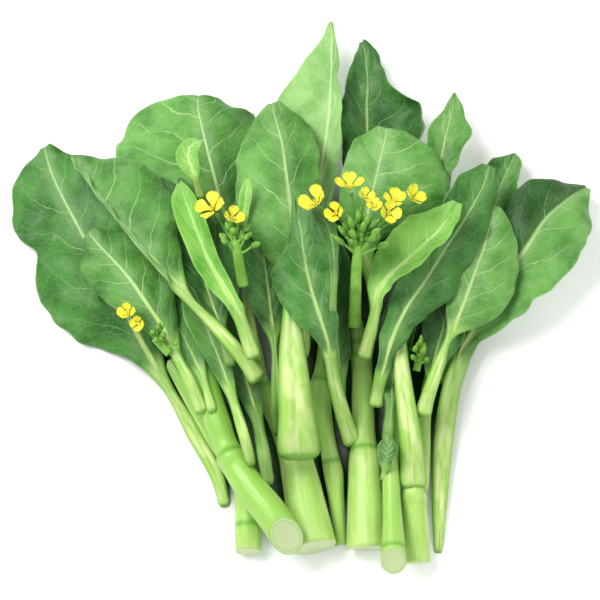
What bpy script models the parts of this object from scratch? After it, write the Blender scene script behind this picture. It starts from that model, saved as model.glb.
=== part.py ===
"""Choy sum bunch: cut stalks, leaves, green flower heads and yellow blooms, lying on a surface.

Tables are in millimetres. X runs across the bunch, Y from the cut ends to the leaf tips, Z up.
Pieces are laid one on another in table order, so a later piece rests above the earlier ones.
"""
import math

import bpy
import bmesh
import numpy as np

MM = 0.001
# The least gap left between two pieces, and the cell of the height map that keeps it.
GAP = 0.35
CELL = 1.0
MAP_LOW = np.array([-175.0, -35.0])
MAP_CELLS = (350, 350)
# A lift is full this far round a touch, then fades over a piece's own distance.
FULL_LIFT = 10.0
LIFTS = 12
LEAF_FADE = 26.0
STALK_FADE = 45.0
# Half the thickness of a blade, and how flat a petiole is against its width.
BLADE_HALF = 0.4
PETIOLE_FLAT = 0.78
# Centre height of a stalk over its underside, as a share of its radius: a little is pressed flat.
PRESSED = 0.89
STALK_SIDES = 8
BUD_SIDES = 4
STEPS = 2
# How slanting a stalk is cut, as a rise for each step along it, and how far up its slant turns.
CUT_SLANTS = {"stalk_1": 0.9, "stalk_6": 0.75, "stalk_2": 0.3, "stalk_3": 0.15}
CUT_LEAN = 0.4
# The cup of a bloom: how far out and how far up each ring of its petals is, as shares of its size.
CUP_RINGS = ((0.55, 0.18), (1.0, 0.42))
CUP_SIDES = 16
CUP_BASE = 1.2
PETAL_THICK = 0.7

# Stalk rows: x, y, height of the underside, radius.
STALKS = {
    "stalk_4": [(20.2, 8, 0, 3), (18, 30, 0, 4), (16, 46, 0, 5), (15, 51, 0, 4.6),
                (11.5, 70, 0, 4.8), (10, 86, 0, 5.4), (11, 92, 0, 4.4), (13, 112, 1, 3.6)],
    "stalk_3": [(7, 7, 0, 11.4), (3.4, 24, 0, 10.3), (0, 41, 0, 9.3), (-3, 53, 0, 8.2),
                (-9, 66, 0, 5.9), (-15, 77, 0, 4.8), (-18.6, 84.5, 1, 5.4),
                (-19.6, 88.5, 2, 4.4), (-22, 102, 4, 3.9), (-25.3, 116, 6, 3.5), (-27.5, 127, 8, 3.1)],
    "stalk_5": [(33, 6, 0, 10.6), (32.6, 24, 0, 9.8), (32, 38, 0, 8.6), (31.8, 52, 0, 7.6),
                (31.6, 57, 0, 6.6), (31.2, 78, 1, 5.9), (30.6, 97, 4, 5.4), (30.3, 101, 5, 5.6),
                (29.6, 104.5, 8, 4.3), (28.2, 112, 12, 3.8), (27.6, 118, 15, 3.4)],
    "stalk_2": [(-25, 5, 0, 6.4), (-25, 13, 0, 6.8), (-25.5, 22, 0, 6.2), (-28.5, 38, 0, 4.8),
                (-42, 60, 0, 4.4), (-56, 84, 1, 4), (-64, 98, 2, 3.2)],
    "stalk_7": [(57.5, -1, 0, 6.8), (56.5, 15, 0, 6.6), (55.8, 28, 0, 6.5), (56, 32, 0, 6.9),
                (58.8, 36.5, 0, 4.6), (60.5, 52, 0, 3.8), (61, 68, 0, 3.6), (63, 84, 0, 3),
                (65.5, 98, 0, 2.4)],
    "stalk_6": [(45, 0.5, 8, 6.4), (45, 9, 6, 5.6), (44.4, 30, 1, 4.6), (44.2, 50, 0, 4.2),
                (45.5, 70, 0, 3.8), (47, 90, 0, 3.6), (47, 110, 2, 3)],
    "stalk_1": [(-8, 12.5, 19, 8.2), (-14.5, 22, 16, 8.4), (-24, 34, 12, 8), (-31, 45, 9, 7.4),
                (-33, 48.5, 8, 7.8), (-34.5, 52, 8, 6.6), (-40, 66, 6, 6.8), (-45, 82, 6, 6.4),
                (-49, 98, 6, 5.6), (-53, 112, 6, 4.4)],
}

# Leaf entries: petiole rows x, y, height of the underside, radius, then blade rows x, y, height of
# the midrib, width to the left, width to the right. fold is the angle at which each side leaves
# the midrib, curl how much more it turns by its edge (left, right), wave its edge's height and
# number of waves, and wings the columns on each side of the rib.
LEAVES = {
    "leaf_curled": dict(
        petiole=[(69, 88, 0, 3), (77, 112, 1, 2.8), (84, 132, 2, 2.6)],
        blade=[(87, 148, 5, 6, 6), (91, 161, 8, 12, 11), (96, 175, 10, 14, 12), (101, 188, 10, 13, 10),
               (105, 197, 8, 9, 8), (107, 203, 6, 1.2, 1.5)],
        fold=(12, 20), curl=(24, 40), wave=(1.2, 2)),
    "leaf_right_big": dict(
        petiole=[(67.8, 4, 0, 2.2), (68.6, 30, 0, 3.9), (70.8, 60, 1, 5), (76.2, 90, 4, 4.8)],
        blade=[(82, 108, 10, 5, 7), (91, 122, 14, 12, 14), (101, 137, 16, 16, 21),
               (112, 153, 16, 20, 26), (121.5, 167, 14, 21, 25), (131, 176, 11, 17, 19),
               (137.5, 181.5, 8, 8, 10), (143, 185, 6, 2, 2)],
        fold=(-4, 16), curl=(-18, 14), wave=(2.6, 3), wings=3),
    "leaf_left_big": dict(
        petiole=[(-36.8, 27, 0, 2.6), (-40, 40, 0, 3.4), (-51.5, 62, 0, 4), (-68, 90, 2, 3.6)],
        blade=[(-76, 104, 7, 10, 8), (-84, 118, 10, 25, 16), (-92, 132, 12, 33, 22),
               (-102, 150, 13, 34, 27), (-110, 165, 12, 26, 28), (-117, 178, 10, 30, 26),
               (-124, 193, 8, 22, 18), (-127, 202, 6, 12, 10), (-128, 207, 5, 3, 3)],
        fold=(-6, 4), curl=(-16, 12), wave=(2.6, 4), wings=3),
    "stalk_4": None, "stalk_3": None, "stalk_5": None, "stalk_2": None, "stalk_7": None,
    "stalk_6": None, "stalk_1": None,
    "leaf_back_dark": dict(
        petiole=[(22, 124, 4, 3), (27, 140, 5, 2.8), (31, 160, 6, 2.6)],
        blade=[(32, 180, 7, 8, 9), (33, 195, 9, 12, 20), (33.5, 207, 11, 13, 29),
               (33.5, 219, 12, 14, 31), (33.5, 228, 12, 13, 28), (34, 236, 12, 12, 13),
               (33.5, 246, 12, 9, 9), (32, 256, 11, 4, 6), (31, 260, 10, 1, 2)],
        fold=(10, -16), curl=(16, 66), wave=(2.4, 3)),
    "leaf_low_right_a": dict(
        petiole=[(42.5, 50, 2, 2.8), (43, 62, 4, 2.8), (44, 74, 6, 2.4)],
        blade=[(45, 84, 7, 5, 5), (47, 102, 9, 9, 8), (51, 122, 10, 9, 8), (54, 136, 10, 1.2, 1.2)],
        fold=(18, 22), curl=(16, 18), wave=(0.8, 2), wings=1),
    "leaf_rolled": dict(
        petiole=[(55.4, 34.5, 8, 6.2), (54.4, 50, 8, 5.8), (51.4, 75, 8, 4.7), (49, 97, 8, 3.9),
                 (48.5, 112, 8, 3.2), (53, 142, 7, 2.6)],
        blade=[(63, 168, 8, 5, 5), (67, 184, 10, 7.5, 8), (70, 198, 11, 10, 9),
               (73, 212, 10, 8.5, 14.5), (75.5, 222, 9, 5, 8), (77.5, 233, 8, 1, 1)],
        fold=(12, 10), curl=(16, 40), wave=(0.8, 2)),
    "leaf_round": dict(
        petiole=[(-21, 96, 14, 3), (-26, 124, 12, 2.8), (-30, 148, 10, 2.6)],
        blade=[(-33, 160, 12, 14, 12), (-38, 173, 14, 34, 20), (-42, 188, 16, 45, 25),
               (-46, 203, 16, 48, 29), (-49, 216, 15, 43, 31), (-51, 226, 13, 33, 27),
               (-51, 232, 11, 14, 13)],
        fold=(4, 8), curl=(-22, -58), wave=(1.6, 2), wings=3),
    "leaf_tall_pale": dict(
        petiole=[(2, 100, 14, 3), (4, 130, 14, 2.6)],
        blade=[(7, 160, 14, 6, 5), (10, 186, 16, 13, 8), (13, 208, 18, 21, 8),
               (15, 226, 19, 27, 6), (15.5, 236, 19, 22, 4.5), (16, 250, 18, 13, 3.5),
               (16, 262, 17, 5, 2), (15.5, 269, 16, 1, 1)],
        fold=(-4, 10), curl=(-14, 20), wave=(0.8, 2)),
    "leaf_pale_oval": dict(
        petiole=[(38, 124, 10, 3), (34, 140, 12, 2.6)],
        blade=[(31, 158, 16, 8, 10), (34, 172, 19, 15, 27), (37, 185, 21, 17, 38),
               (40, 197, 21, 16, 35), (42, 206, 20, 13, 26), (43, 212, 19, 5, 9)],
        fold=(8, 4), curl=(-10, -26), wave=(1.4, 2)),
    "leaf_low_right_b": dict(
        petiole=[(62, 74, 6, 2.4), (64, 88, 7, 2.2)],
        blade=[(66, 98, 9, 6, 7), (70, 112, 11, 11, 12), (73, 127, 12, 13, 12), (76, 142, 11, 9, 9),
               (78, 153, 10, 1.2, 1.2)],
        fold=(16, 16), curl=(14, 14), wave=(1.4, 2), wings=1),
    "leaf_low_left_a": dict(
        petiole=[(-42, 70, 16, 2.6), (-47, 86, 15, 2.4)],
        blade=[(-52, 98, 15, 6, 6), (-59, 112, 15, 11, 10), (-66, 126, 15, 11, 9),
               (-73, 139, 14, 1.2, 1.2)],
        fold=(14, 22), curl=(20, 24), wave=(1.2, 2), wings=1),
    "leaf_low_left_b": dict(
        petiole=[(-15, 35, 0, 2.8), (-17.5, 50, 2, 3.2), (-20.5, 66, 4, 3)],
        blade=[(-24, 80, 6, 6, 6), (-30, 98, 8, 8, 8), (-37, 118, 9, 9, 9), (-44, 140, 9, 1.2, 1.2)],
        fold=(16, 22), curl=(16, 20), wave=(1, 2), wings=1),
    "leaf_low_left_c": dict(
        petiole=[(-23, 44, 1, 2.5), (-27.5, 60, 3, 2.7), (-33, 78, 5, 2.6)],
        blade=[(-37, 90, 8, 5, 5), (-43, 105, 9, 8, 8), (-50, 121, 10, 8, 7), (-56, 135, 10, 1.2, 1.2)],
        fold=(16, 16), curl=(16, 16), wave=(1, 2), wings=1),
    "leaf_small_round": dict(
        petiole=[(-47, 70, 16, 3.4), (-54, 86, 15, 3), (-60, 98, 15, 2.8)],
        blade=[(-66, 110, 17, 6, 8), (-74, 122, 20, 12, 16), (-83, 135, 22, 18, 17),
               (-92, 146, 22, 18, 16), (-100, 155, 20, 13, 12), (-104, 160, 18, 4, 4)],
        fold=(-6, -4), curl=(-34, -20), wave=(1.8, 3)),
    "leaf_dark_a": dict(
        petiole=[(-33, 92, 16, 3), (-38, 108, 16, 2.8)],
        blade=[(-42, 120, 17, 6, 8), (-48, 138, 19, 12, 13), (-55, 156, 20, 14, 14),
               (-62, 173, 19, 10, 10), (-69, 186, 17, 1.5, 1.5)],
        fold=(30, 10), curl=(30, 10), wave=(1.2, 2), wings=1),
    "leaf_folded_left": dict(
        petiole=[(-19.5, 85.5, 12, 4.6), (-26, 93.5, 13, 3.8), (-39, 108, 15, 3.2), (-56, 126, 18, 3.2)],
        blade=[(-66, 136, 23, 4.5, 13), (-76, 147, 25, 5.5, 24), (-86, 160, 26, 6, 29),
               (-96, 173, 25, 6, 29), (-104, 184, 23, 5, 22), (-109, 191, 21, 4, 13),
               (-113, 197, 19, 1.5, 2)],
        fold=(70, -4), curl=(40, -18), wave=(1.6, 3)),
    "leaf_dark_b": dict(
        petiole=[(-26, 104, 20, 2.6), (-31, 118, 21, 2.4)],
        blade=[(-35, 130, 22, 6, 6), (-41, 146, 24, 10, 9), (-48, 162, 24, 10, 9),
               (-55, 176, 23, 6, 6), (-59, 184, 22, 1.2, 1.2)],
        fold=(26, 20), curl=(24, 20), wave=(0.8, 2), wings=1),
    "leaf_hidden_left": dict(
        petiole=[(-10.5, 60, 6, 2.8), (-11, 80, 10, 2.8), (-12.5, 104, 12, 2.6)],
        blade=[(-14, 117, 13, 8, 8), (-16, 133, 14, 13, 13), (-18.5, 152, 14, 13, 12),
               (-21, 173, 12, 1.2, 1.2)],
        fold=(14, 14), curl=(14, 16), wave=(1, 2), wings=1),
    "leaf_hidden_back": dict(
        petiole=[(20, 72, 4, 3), (20, 88, 6, 2.8)],
        blade=[(19, 100, 8, 8, 6), (17.5, 118, 10, 12, 8), (16.2, 140, 11, 13.5, 11),
               (14, 166, 10, 1.5, 1.5)],
        fold=(18, 18), curl=(16, 16), wave=(1, 2), wings=1),
    "leaf_centre": dict(
        petiole=[(-0.2, 47.5, 13, 9.6), (-0.8, 58, 12.5, 9.2), (-2.4, 78, 12, 7.8), (-3.6, 97, 12, 6.4),
                 (-3.8, 110, 13, 5), (-3.8, 120, 15, 4.2)],
        blade=[(-3, 132, 22, 6, 6), (-2.5, 143, 25, 14, 9), (-3, 156, 28, 22, 13),
               (-5, 172, 30, 26, 15), (-7, 189, 30, 25, 17), (-9, 204, 28, 21, 17),
               (-12, 216, 25, 14, 13), (-14, 225, 22, 3, 4)],
        fold=(10, 8), curl=(-34, -24), wave=(1.8, 3), wings=3),
    "leaf_mid_dark": dict(
        petiole=[(26.6, 56.5, 12, 4.4), (21.2, 69.5, 13, 3.9), (16.8, 84, 15, 3.4), (14.8, 94, 17, 3.2)],
        blade=[(13.5, 101, 22, 4.4, 4.8), (9, 115, 26, 12.5, 11), (5, 128, 27, 16.5, 13),
               (3, 138, 27, 17, 14), (1.5, 147, 27, 9, 13), (0.5, 155, 26, 5.5, 11.5),
               (-1, 164, 25, 3, 7.5), (-2.5, 174, 24, 1, 1.5)],
        fold=(6, 20), curl=(-18, 22), wave=(1.6, 2)),
    "leaf_right_oval": dict(
        petiole=[(59.5, 69, 8, 3.8), (62.5, 79, 9, 3.4), (67.5, 93, 13, 3), (74, 109, 18, 2.7)],
        blade=[(78, 119, 24, 7, 14), (82, 129, 26, 12, 20), (86, 140, 28, 14, 21),
               (90, 151, 28, 14, 18), (93, 161, 27, 12, 13), (95, 168, 26, 8, 8),
               (96, 172, 25, 2, 2)],
        fold=(10, 8), curl=(-14, -22), wave=(1.2, 3)),
    "leaf_right_long": dict(
        petiole=[(37, 74, 10, 3.4), (38.5, 84, 12, 3.1)],
        blade=[(41, 94, 17, 4, 4), (45, 106, 22, 6, 7), (51, 119, 26, 9, 11), (60, 132, 30, 13, 15),
               (69, 146, 31, 14, 15.5), (78, 160, 31, 14, 14), (85, 172, 30, 14, 11),
               (90, 182, 28, 13, 9), (93, 192, 26, 3.5, 3.5)],
        fold=(14, -4), curl=(16, -36), wave=(1.4, 3)),
    "leaf_bright_folded": dict(
        petiole=[(-22, 94, 14, 3.6), (-25.5, 104, 17, 3.4), (-28.5, 112, 20, 3.2)],
        blade=[(-31.5, 119, 25, 4.5, 5), (-36.8, 128, 28, 7, 5.5), (-42.4, 138, 30, 8.5, 7),
               (-47.5, 150, 31, 9, 8), (-52.5, 163, 31, 9, 8), (-56.5, 174, 30, 6.5, 6),
               (-58.5, 180, 28, 1.5, 1.5)],
        fold=(26, 36), curl=(10, 24), wave=(1.3, 3)),
    "leaf_curved_small": dict(
        petiole=[(-48, 172, 34, 2), (-50, 179, 35, 1.8)],
        blade=[(-52, 185, 37, 5, 4.5), (-54, 192, 38, 6.5, 6), (-52.5, 197, 38, 5, 5.5),
               (-49, 200, 37, 1.8, 2)],
        fold=(20, 20), curl=(20, 20), wave=(0.4, 1), wings=1),
    "leaf_bright_top": dict(
        petiole=[(31, 96.5, 14, 3.7), (34.2, 108, 16, 3.1), (36.6, 118.5, 21, 2.8)],
        blade=[(38.4, 127, 30, 6, 4), (43.4, 133.6, 35, 12, 6), (50.6, 140.4, 38, 15.5, 7.5),
               (58.5, 147.4, 40, 16.5, 8), (66.4, 155.4, 40, 14, 8), (72.5, 163.5, 38, 9, 7),
               (76.8, 170, 37, 2.8, 2.8)],
        fold=(2, 40), curl=(-20, 6), wave=(0.9, 2)),
    "leaf_narrow": dict(
        petiole=[(15.5, 112, 20, 2), (16, 126, 26, 1.9)],
        blade=[(16.5, 138, 30, 2.6, 2.6), (15, 150, 33, 4.4, 4), (10, 163, 34, 4.5, 4.5),
               (3, 175, 33, 1.2, 1.2)],
        fold=(16, 30), curl=(10, 30), wave=(0.5, 2), wings=1),
    "leaf_bract": dict(
        petiole=[(-29, 146, 30, 1.8), (-28, 156, 33, 1.8)],
        blade=[(-27, 163, 36, 3, 3), (-26, 172, 38, 4, 4), (-25, 181, 38, 1.2, 1.2)],
        fold=(30, 30), curl=(20, 20), wave=(0.4, 1), wings=1),
    "leaf_curly_side": dict(
        petiole=[(40.5, 38, 14, 1.6), (41, 43, 15, 1.6)],
        blade=[(41.5, 47, 17, 4.5, 4.5), (42.5, 53, 18, 7, 7), (43, 59, 18, 1.2, 1.2)],
        fold=(20, 30), curl=(50, 40), wave=(1.4, 3)),
}

# Flower heads: rows of the thin stem, then the head's centre, size and number of closed buds,
# and for each bloom its x, y, height above its stem's top, size and facing (right, up the bunch).
HEADS = {
    "flower_head_left": dict(
        stem=[(-27.2, 129, 22, 2.8), (-29, 138, 27, 2.5), (-30.6, 148, 31, 2.2)],
        buds=14, spread=(10, 16),
        blooms=[(-41.2, 163.5, 7, 6.2, -0.6, 0.5), (-32.5, 158, 7, 4.4, 0.5, 0.3)]),
    "flower_head_main": dict(
        stem=[(26.8, 112, 20, 3.3), (26.8, 121, 23, 3), (26.9, 131, 27, 2.7), (27.2, 139, 32, 2.4),
              (28, 146, 36, 2.1)],
        buds=20, spread=(14, 16),
        blooms=[(8.6, 164.5, 7, 6.2, -0.7, 0.5), (17.6, 159.5, 7, 4.4, -0.4, 0.1),
                (24, 172, 8, 5.6, -0.2, 0.9), (30.6, 166.5, 7, 3.6, 0.4, 0.5),
                (35.2, 161.5, 7, 3.2, 0, 0.3), (41.5, 158.5, 7, 4.6, 0.3, -0.1),
                (45, 167.4, 7, 4.6, 0.2, 0.6), (53, 168.4, 7, 5, 0.8, 0.6)]),
    "flower_head_small": dict(
        stem=[(-63, 98, 20, 2.2), (-70, 105, 22, 2)],
        buds=6, spread=(6, 6), blooms=[(-82.5, 116.5, 6, 4, -0.5, 0.3), (-77.5, 111.5, 6, 3.4, -0.2, -0.2)]),
    "flower_head_closed": dict(
        stem=[(57, 92, 20, 2), (59, 100, 22, 1.8)],
        buds=7, spread=(5, 6), blooms=[]),
}

# Colours as linear red, green and blue.
LEAF_GREEN = (0.075, 0.26, 0.055, 1)
DARK_GREEN = (0.035, 0.15, 0.035, 1)
PALE_GREEN = (0.30, 0.52, 0.16, 1)
STALK_GREEN = (0.45, 0.75, 0.12, 1)
BUD_GREEN = (0.22, 0.45, 0.07, 1)
PETAL_YELLOW = (0.95, 0.75, 0.02, 1)
LEAF_TONES = {"leaf_back_dark": DARK_GREEN, "leaf_hidden_left": DARK_GREEN,
              "leaf_dark_a": DARK_GREEN, "leaf_mid_dark": DARK_GREEN,
              "leaf_hidden_back": DARK_GREEN, "leaf_tall_pale": PALE_GREEN,
              "leaf_pale_oval": PALE_GREEN, "leaf_rolled": PALE_GREEN,
              "leaf_bright_folded": STALK_GREEN}


def material(name, colour, roughness):
    """A plain surface of one colour."""
    made = bpy.data.materials.new(name)
    made.use_nodes = True
    shader = made.node_tree.nodes["Principled BSDF"]
    shader.inputs["Base Color"].default_value = colour
    shader.inputs["Roughness"].default_value = roughness
    shader.inputs["Metallic"].default_value = 0.0
    return made


def through(rows, steps):
    """A smooth curve through all rows, with the steps that each span takes."""
    rows = np.array(rows, float)
    span = np.linalg.norm(np.diff(rows[:, :3], axis=0), axis=1)
    along = np.concatenate([[0.0], np.cumsum(span)])
    slope = np.gradient(rows, along, axis=0)
    points = []
    for i, reach in enumerate(span):
        for k in range(steps[i]):
            t = k / steps[i]
            points.append((2 * t**3 - 3 * t**2 + 1) * rows[i]
                          + (t**3 - 2 * t**2 + t) * reach * slope[i]
                          + (3 * t**2 - 2 * t**3) * rows[i + 1]
                          + (t**3 - t**2) * reach * slope[i + 1])
    points.append(rows[-1])
    return np.array(points)


def directions(centre):
    """Right, up and forward at each point of a line, right being level."""
    forward = np.gradient(centre, axis=0)
    forward /= np.linalg.norm(forward, axis=1)[:, None]
    right = np.stack([forward[:, 1], -forward[:, 0], 0 * forward[:, 0]], axis=1)
    right /= np.linalg.norm(right, axis=1)[:, None]
    return right, np.cross(right, forward), forward


def leaf_rows(leaf):
    """Petiole and blade rows as one list: x, y, z, left, right, rib width, rib half height, blade."""
    rows = []
    for x, y, base, radius in leaf["petiole"]:
        deep = radius * PETIOLE_FLAT
        rows.append((x, y, base + deep, radius, radius, radius, deep, 0.0))
    stub = leaf["petiole"][-1][3]
    count = len(leaf["blade"])
    for i, (x, y, z, left, right) in enumerate(leaf["blade"]):
        left_over = 1 - (i + 1) / count
        rib = 0.5 + (stub - 0.5) * left_over
        rows.append((x, y, z, left, right, rib, BLADE_HALF + 0.6 * rib * left_over, 1.0))
    return rows


def leaf_grid(leaf):
    """The leaf's middle surface, its normals and its half thickness, on a grid along and across."""
    bare = len(leaf["petiole"]) - 1
    line = through(leaf_rows(leaf), [1] * bare + [STEPS] * len(leaf["blade"]))
    right, up, _ = directions(line[:, :3])
    wings = leaf.get("wings", 2)
    across = np.arange(-wings - 1, wings + 2)
    petiole_share = np.sin(across / (wings + 1) * math.pi / 2)
    fold = np.radians(leaf["fold"])
    curl = np.radians(leaf["curl"])
    height, waves = leaf["wave"]
    middle = np.zeros((len(line), len(across), 3))
    normal = np.zeros_like(middle)
    half = np.zeros(middle.shape[:2])
    for i, (x, y, z, left, right_width, rib, deep, blade) in enumerate(line):
        blade = min(max(blade, 0.0), 1.0)
        part = max(0.0, (i - bare) / (len(line) - 1 - bare))
        for j, column in enumerate(across):
            side = 0 if column < 0 else 1
            sign = -1 if column < 0 else 1
            width = max((left, right_width)[side], 0.8)
            ribbed = min(max(rib, 0.4), 0.5 * width)
            step = abs(column)
            on_blade = 0.0 if step == 0 else ribbed + (width - ribbed) * (step - 1) / wings
            reach = (1 - blade) * abs(petiole_share[j]) * width + blade * on_blade
            bend = blade * curl[side] / width
            start = blade * fold[side]
            turn = start + bend * reach
            if abs(bend) > 1e-6:
                out = (math.sin(turn) - math.sin(start)) / bend
                rise = (math.cos(start) - math.cos(turn)) / bend
            else:
                out = reach * math.cos(start)
                rise = reach * math.sin(start)
            ripple = height * blade * (reach / width) ** 2
            rise += ripple * math.sin(2 * math.pi * waves * part + 1.7 * side)
            middle[i, j] = line[i, :3] + sign * out * right[i] + rise * up[i]
            normal[i, j] = math.cos(turn) * up[i] - sign * math.sin(turn) * right[i]
            round_half = deep * math.sqrt(max(0.0, 1 - petiole_share[j] ** 2))
            flat_half = deep if step == 0 else BLADE_HALF
            half[i, j] = max(BLADE_HALF, (1 - blade) * round_half + blade * flat_half)
    return middle, normal, half


def leaf_solid(leaf):
    """Points and triangles of a leaf: two faces, split alike, with a wall all round."""
    middle, normal, half = leaf_grid(leaf)
    top = middle + normal * half[..., None]
    bottom = middle - normal * half[..., None]
    rows, columns = half.shape
    points = np.concatenate([top.reshape(-1, 3), bottom.reshape(-1, 3)])
    under = rows * columns

    def at(i, j):
        return i * columns + j

    faces = []
    for i in range(rows - 1):
        for j in range(columns - 1):
            a, b, c, d = at(i, j), at(i, j + 1), at(i + 1, j + 1), at(i + 1, j)
            faces += [(a, b, c), (a, c, d)]
            faces += [(a + under, c + under, b + under), (a + under, d + under, c + under)]
    rim = [at(0, j) for j in range(columns)]
    rim += [at(i, columns - 1) for i in range(1, rows)]
    rim += [at(rows - 1, j) for j in range(columns - 2, -1, -1)]
    rim += [at(i, 0) for i in range(rows - 2, 0, -1)]
    for a, b in zip(rim, rim[1:] + rim[:1]):
        faces += [(a, a + under, b + under), (a, b + under, b)]
    return points, np.array(faces)


def tube(line, sides):
    """Points and triangles of a closed tube along rows of x, y, z and radius."""
    line = np.array(line, float)
    right, up, _ = directions(line[:, :3])
    turn = (np.arange(sides) + 0.5) / sides * 2 * math.pi - math.pi / 2
    ring = np.cos(turn)[None, :, None] * right[:, None] + np.sin(turn)[None, :, None] * up[:, None]
    points = line[:, None, :3] + line[:, None, 3:4] * ring
    points = points.reshape(-1, 3)
    faces = []
    for i in range(len(line) - 1):
        for j in range(sides):
            a, b = i * sides + j, i * sides + (j + 1) % sides
            faces += [(a, b, b + sides), (a, b + sides, a + sides)]
    last = (len(line) - 1) * sides
    for j in range(1, sides - 1):
        faces += [(0, j + 1, j), (last, last + j, last + j + 1)]
    return points, np.array(faces)


def stalk_solid(rows, slant):
    """A stalk, cut at a slant and pressed flat where it lies on the surface."""
    centre = [(x, y, base + PRESSED * radius, radius) for x, y, base, radius in rows]
    line = through(centre, [STEPS] * (len(rows) - 1))
    points, faces = tube(line, STALK_SIDES)
    _, up, forward = directions(line[:, :3])
    rise = (points[:STALK_SIDES] - line[0, :3]) @ up[0]
    points[:STALK_SIDES] += slant * (rise - CUT_LEAN * line[0, 3])[:, None] * forward[0]
    points[:, 2] = np.maximum(points[:, 2], 0.0)
    return points, faces


def samples(points, faces):
    """Points spread over every triangle, closer together than a cell of the height map."""
    corner = points[faces]
    longest = np.linalg.norm(corner - np.roll(corner, 1, axis=1), axis=2).max(axis=1)
    counts = np.ceil(longest / (0.6 * CELL)).astype(int)
    spread = []
    for count in np.unique(counts):
        share = np.array([(i, j, count - i - j) for i in range(count + 1) for j in range(count + 1 - i)])
        part = corner[counts == count]
        spread.append(np.einsum("sk,tkx->tsx", share / count, part).reshape(-1, 3))
    return np.concatenate(spread)


def cells(spots):
    """The height map's cell under each spot."""
    found = np.floor((spots[:, :2] - MAP_LOW) / CELL).astype(int)
    return found[:, 0], found[:, 1]


def lay(points, faces, heights, fade):
    """Lift a piece where it would touch what lies below it, and add it to the height map."""
    points = points.copy()
    for _ in range(LIFTS):
        spots = samples(points, faces)
        column, row = cells(spots)
        need = np.maximum(heights[column, row] + GAP, 0.0) - spots[:, 2]
        most = np.full(MAP_CELLS, 0.0)
        np.maximum.at(most, (column, row), need)
        low = np.argwhere(most > 1e-5)
        if not len(low):
            break
        place = MAP_LOW + (low + 0.5) * CELL
        lift = most[low[:, 0], low[:, 1]]
        away = np.linalg.norm(points[:, None, :2] - place[None], axis=2)
        share = np.exp(-(np.maximum(0.0, away - FULL_LIFT) / fade) ** 2)
        points[:, 2] += (share * lift[None]).max(axis=1)
    spots = samples(points, faces)
    column, row = cells(spots)
    layer = np.full(MAP_CELLS, -1e3)
    np.maximum.at(layer, (column, row), spots[:, 2])
    wide = layer.copy()
    for dx in (-1, 0, 1):
        for dy in (-1, 0, 1):
            wide = np.maximum(wide, np.roll(layer, (dx, dy), axis=(0, 1)))
    np.maximum(heights, wide, out=heights)
    return points


def bud_line(start, end, bulk):
    """A pedicel that ends in a closed bud, as rows for a tube."""
    start, end = np.array(start, float), np.array(end, float)
    shares = ((0.0, 0.8), (0.58, 0.65), (0.78, bulk), (1.0, 0.4 * bulk))
    return [tuple(start + (end - start) * s) + (r,) for s, r in shares]


def pedicel_line(start, end):
    """A pedicel that widens to a bloom's green calyx, as rows for a tube."""
    start, end = np.array(start, float), np.array(end, float)
    return [tuple(start + (end - start) * s) + (r,) for s, r in ((0.0, 0.8), (1.0, 1.3))]


def bloom_centre(head, bloom):
    """The middle of a bloom's cup, above the top of its head's stem."""
    return np.array([bloom[0], bloom[1], head["stem"][-1][2] + bloom[2]], float)


def bloom_facing(bloom):
    """The way a bloom looks, mostly up."""
    facing = np.array([bloom[4], bloom[5], 1.0])
    return facing / np.linalg.norm(facing)


def head_pieces(head):
    """The stem, buds and pedicels of a flower head, each a closed tube sunk into the stem."""
    stem = np.array([(x, y, z + r, r) for x, y, z, r in head["stem"]], float)
    pieces = [tube(stem, 6)]
    top = stem[-1, :3]
    below = stem[-2, :3]
    wide, tall = head["spread"]
    for k in range(head["buds"]):
        share = (k + 0.5) / head["buds"]
        turn = k * math.radians(137.5)
        root = below + (top - below) * (0.25 + 0.7 * share)
        out = wide * (1.05 - 0.75 * share)
        tip = root + np.array([out * math.cos(turn), tall * (0.3 + 0.65 * share),
                               3 + 0.45 * out * (1 + math.sin(turn))])
        pieces.append(tube(bud_line(root, tip, 2.1), BUD_SIDES))
    for bloom in head["blooms"]:
        facing = bloom_facing(bloom)
        end = bloom_centre(head, bloom) - facing * 2.4
        root = below + (top - below) * 0.6
        pieces.append(tube(pedicel_line(root, end), BUD_SIDES))
    return pieces


def bloom_solid(head, bloom):
    """Four petals in one cup: an open lobed sheet with a small base."""
    centre = bloom_centre(head, bloom)
    facing = bloom_facing(bloom)
    right = np.cross([0.0, 1.0, 0.0], facing)
    right /= np.linalg.norm(right)
    front = np.cross(facing, right)
    size = bloom[3]
    count = CUP_SIDES
    points = [centre - facing * CUP_BASE]
    for share, rise in CUP_RINGS:
        for k in range(count):
            turn = k / count * 2 * math.pi
            lobe = 0.6 + 0.4 * abs(math.cos(2 * turn)) ** 0.5
            points.append(centre + size * share * lobe * (math.cos(turn) * right + math.sin(turn) * front)
                          + facing * size * rise)
    top = len(points)
    points += [spot - facing * PETAL_THICK for spot in points]
    faces = []
    for k in range(count):
        n = (k + 1) % count
        faces += [(0, 1 + k, 1 + n), (top, top + 1 + n, top + 1 + k)]
        for ring in range(len(CUP_RINGS) - 1):
            a, b = 1 + ring * count + k, 1 + ring * count + n
            c, d = b + count, a + count
            faces += [(a, d, c), (a, c, b), (top + a, top + c, top + d), (top + a, top + b, top + c)]
        a, b = 1 + (len(CUP_RINGS) - 1) * count + k, 1 + (len(CUP_RINGS) - 1) * count + n
        faces += [(a, top + a, top + b), (a, top + b, b)]
    return np.array(points), np.array(faces)


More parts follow.
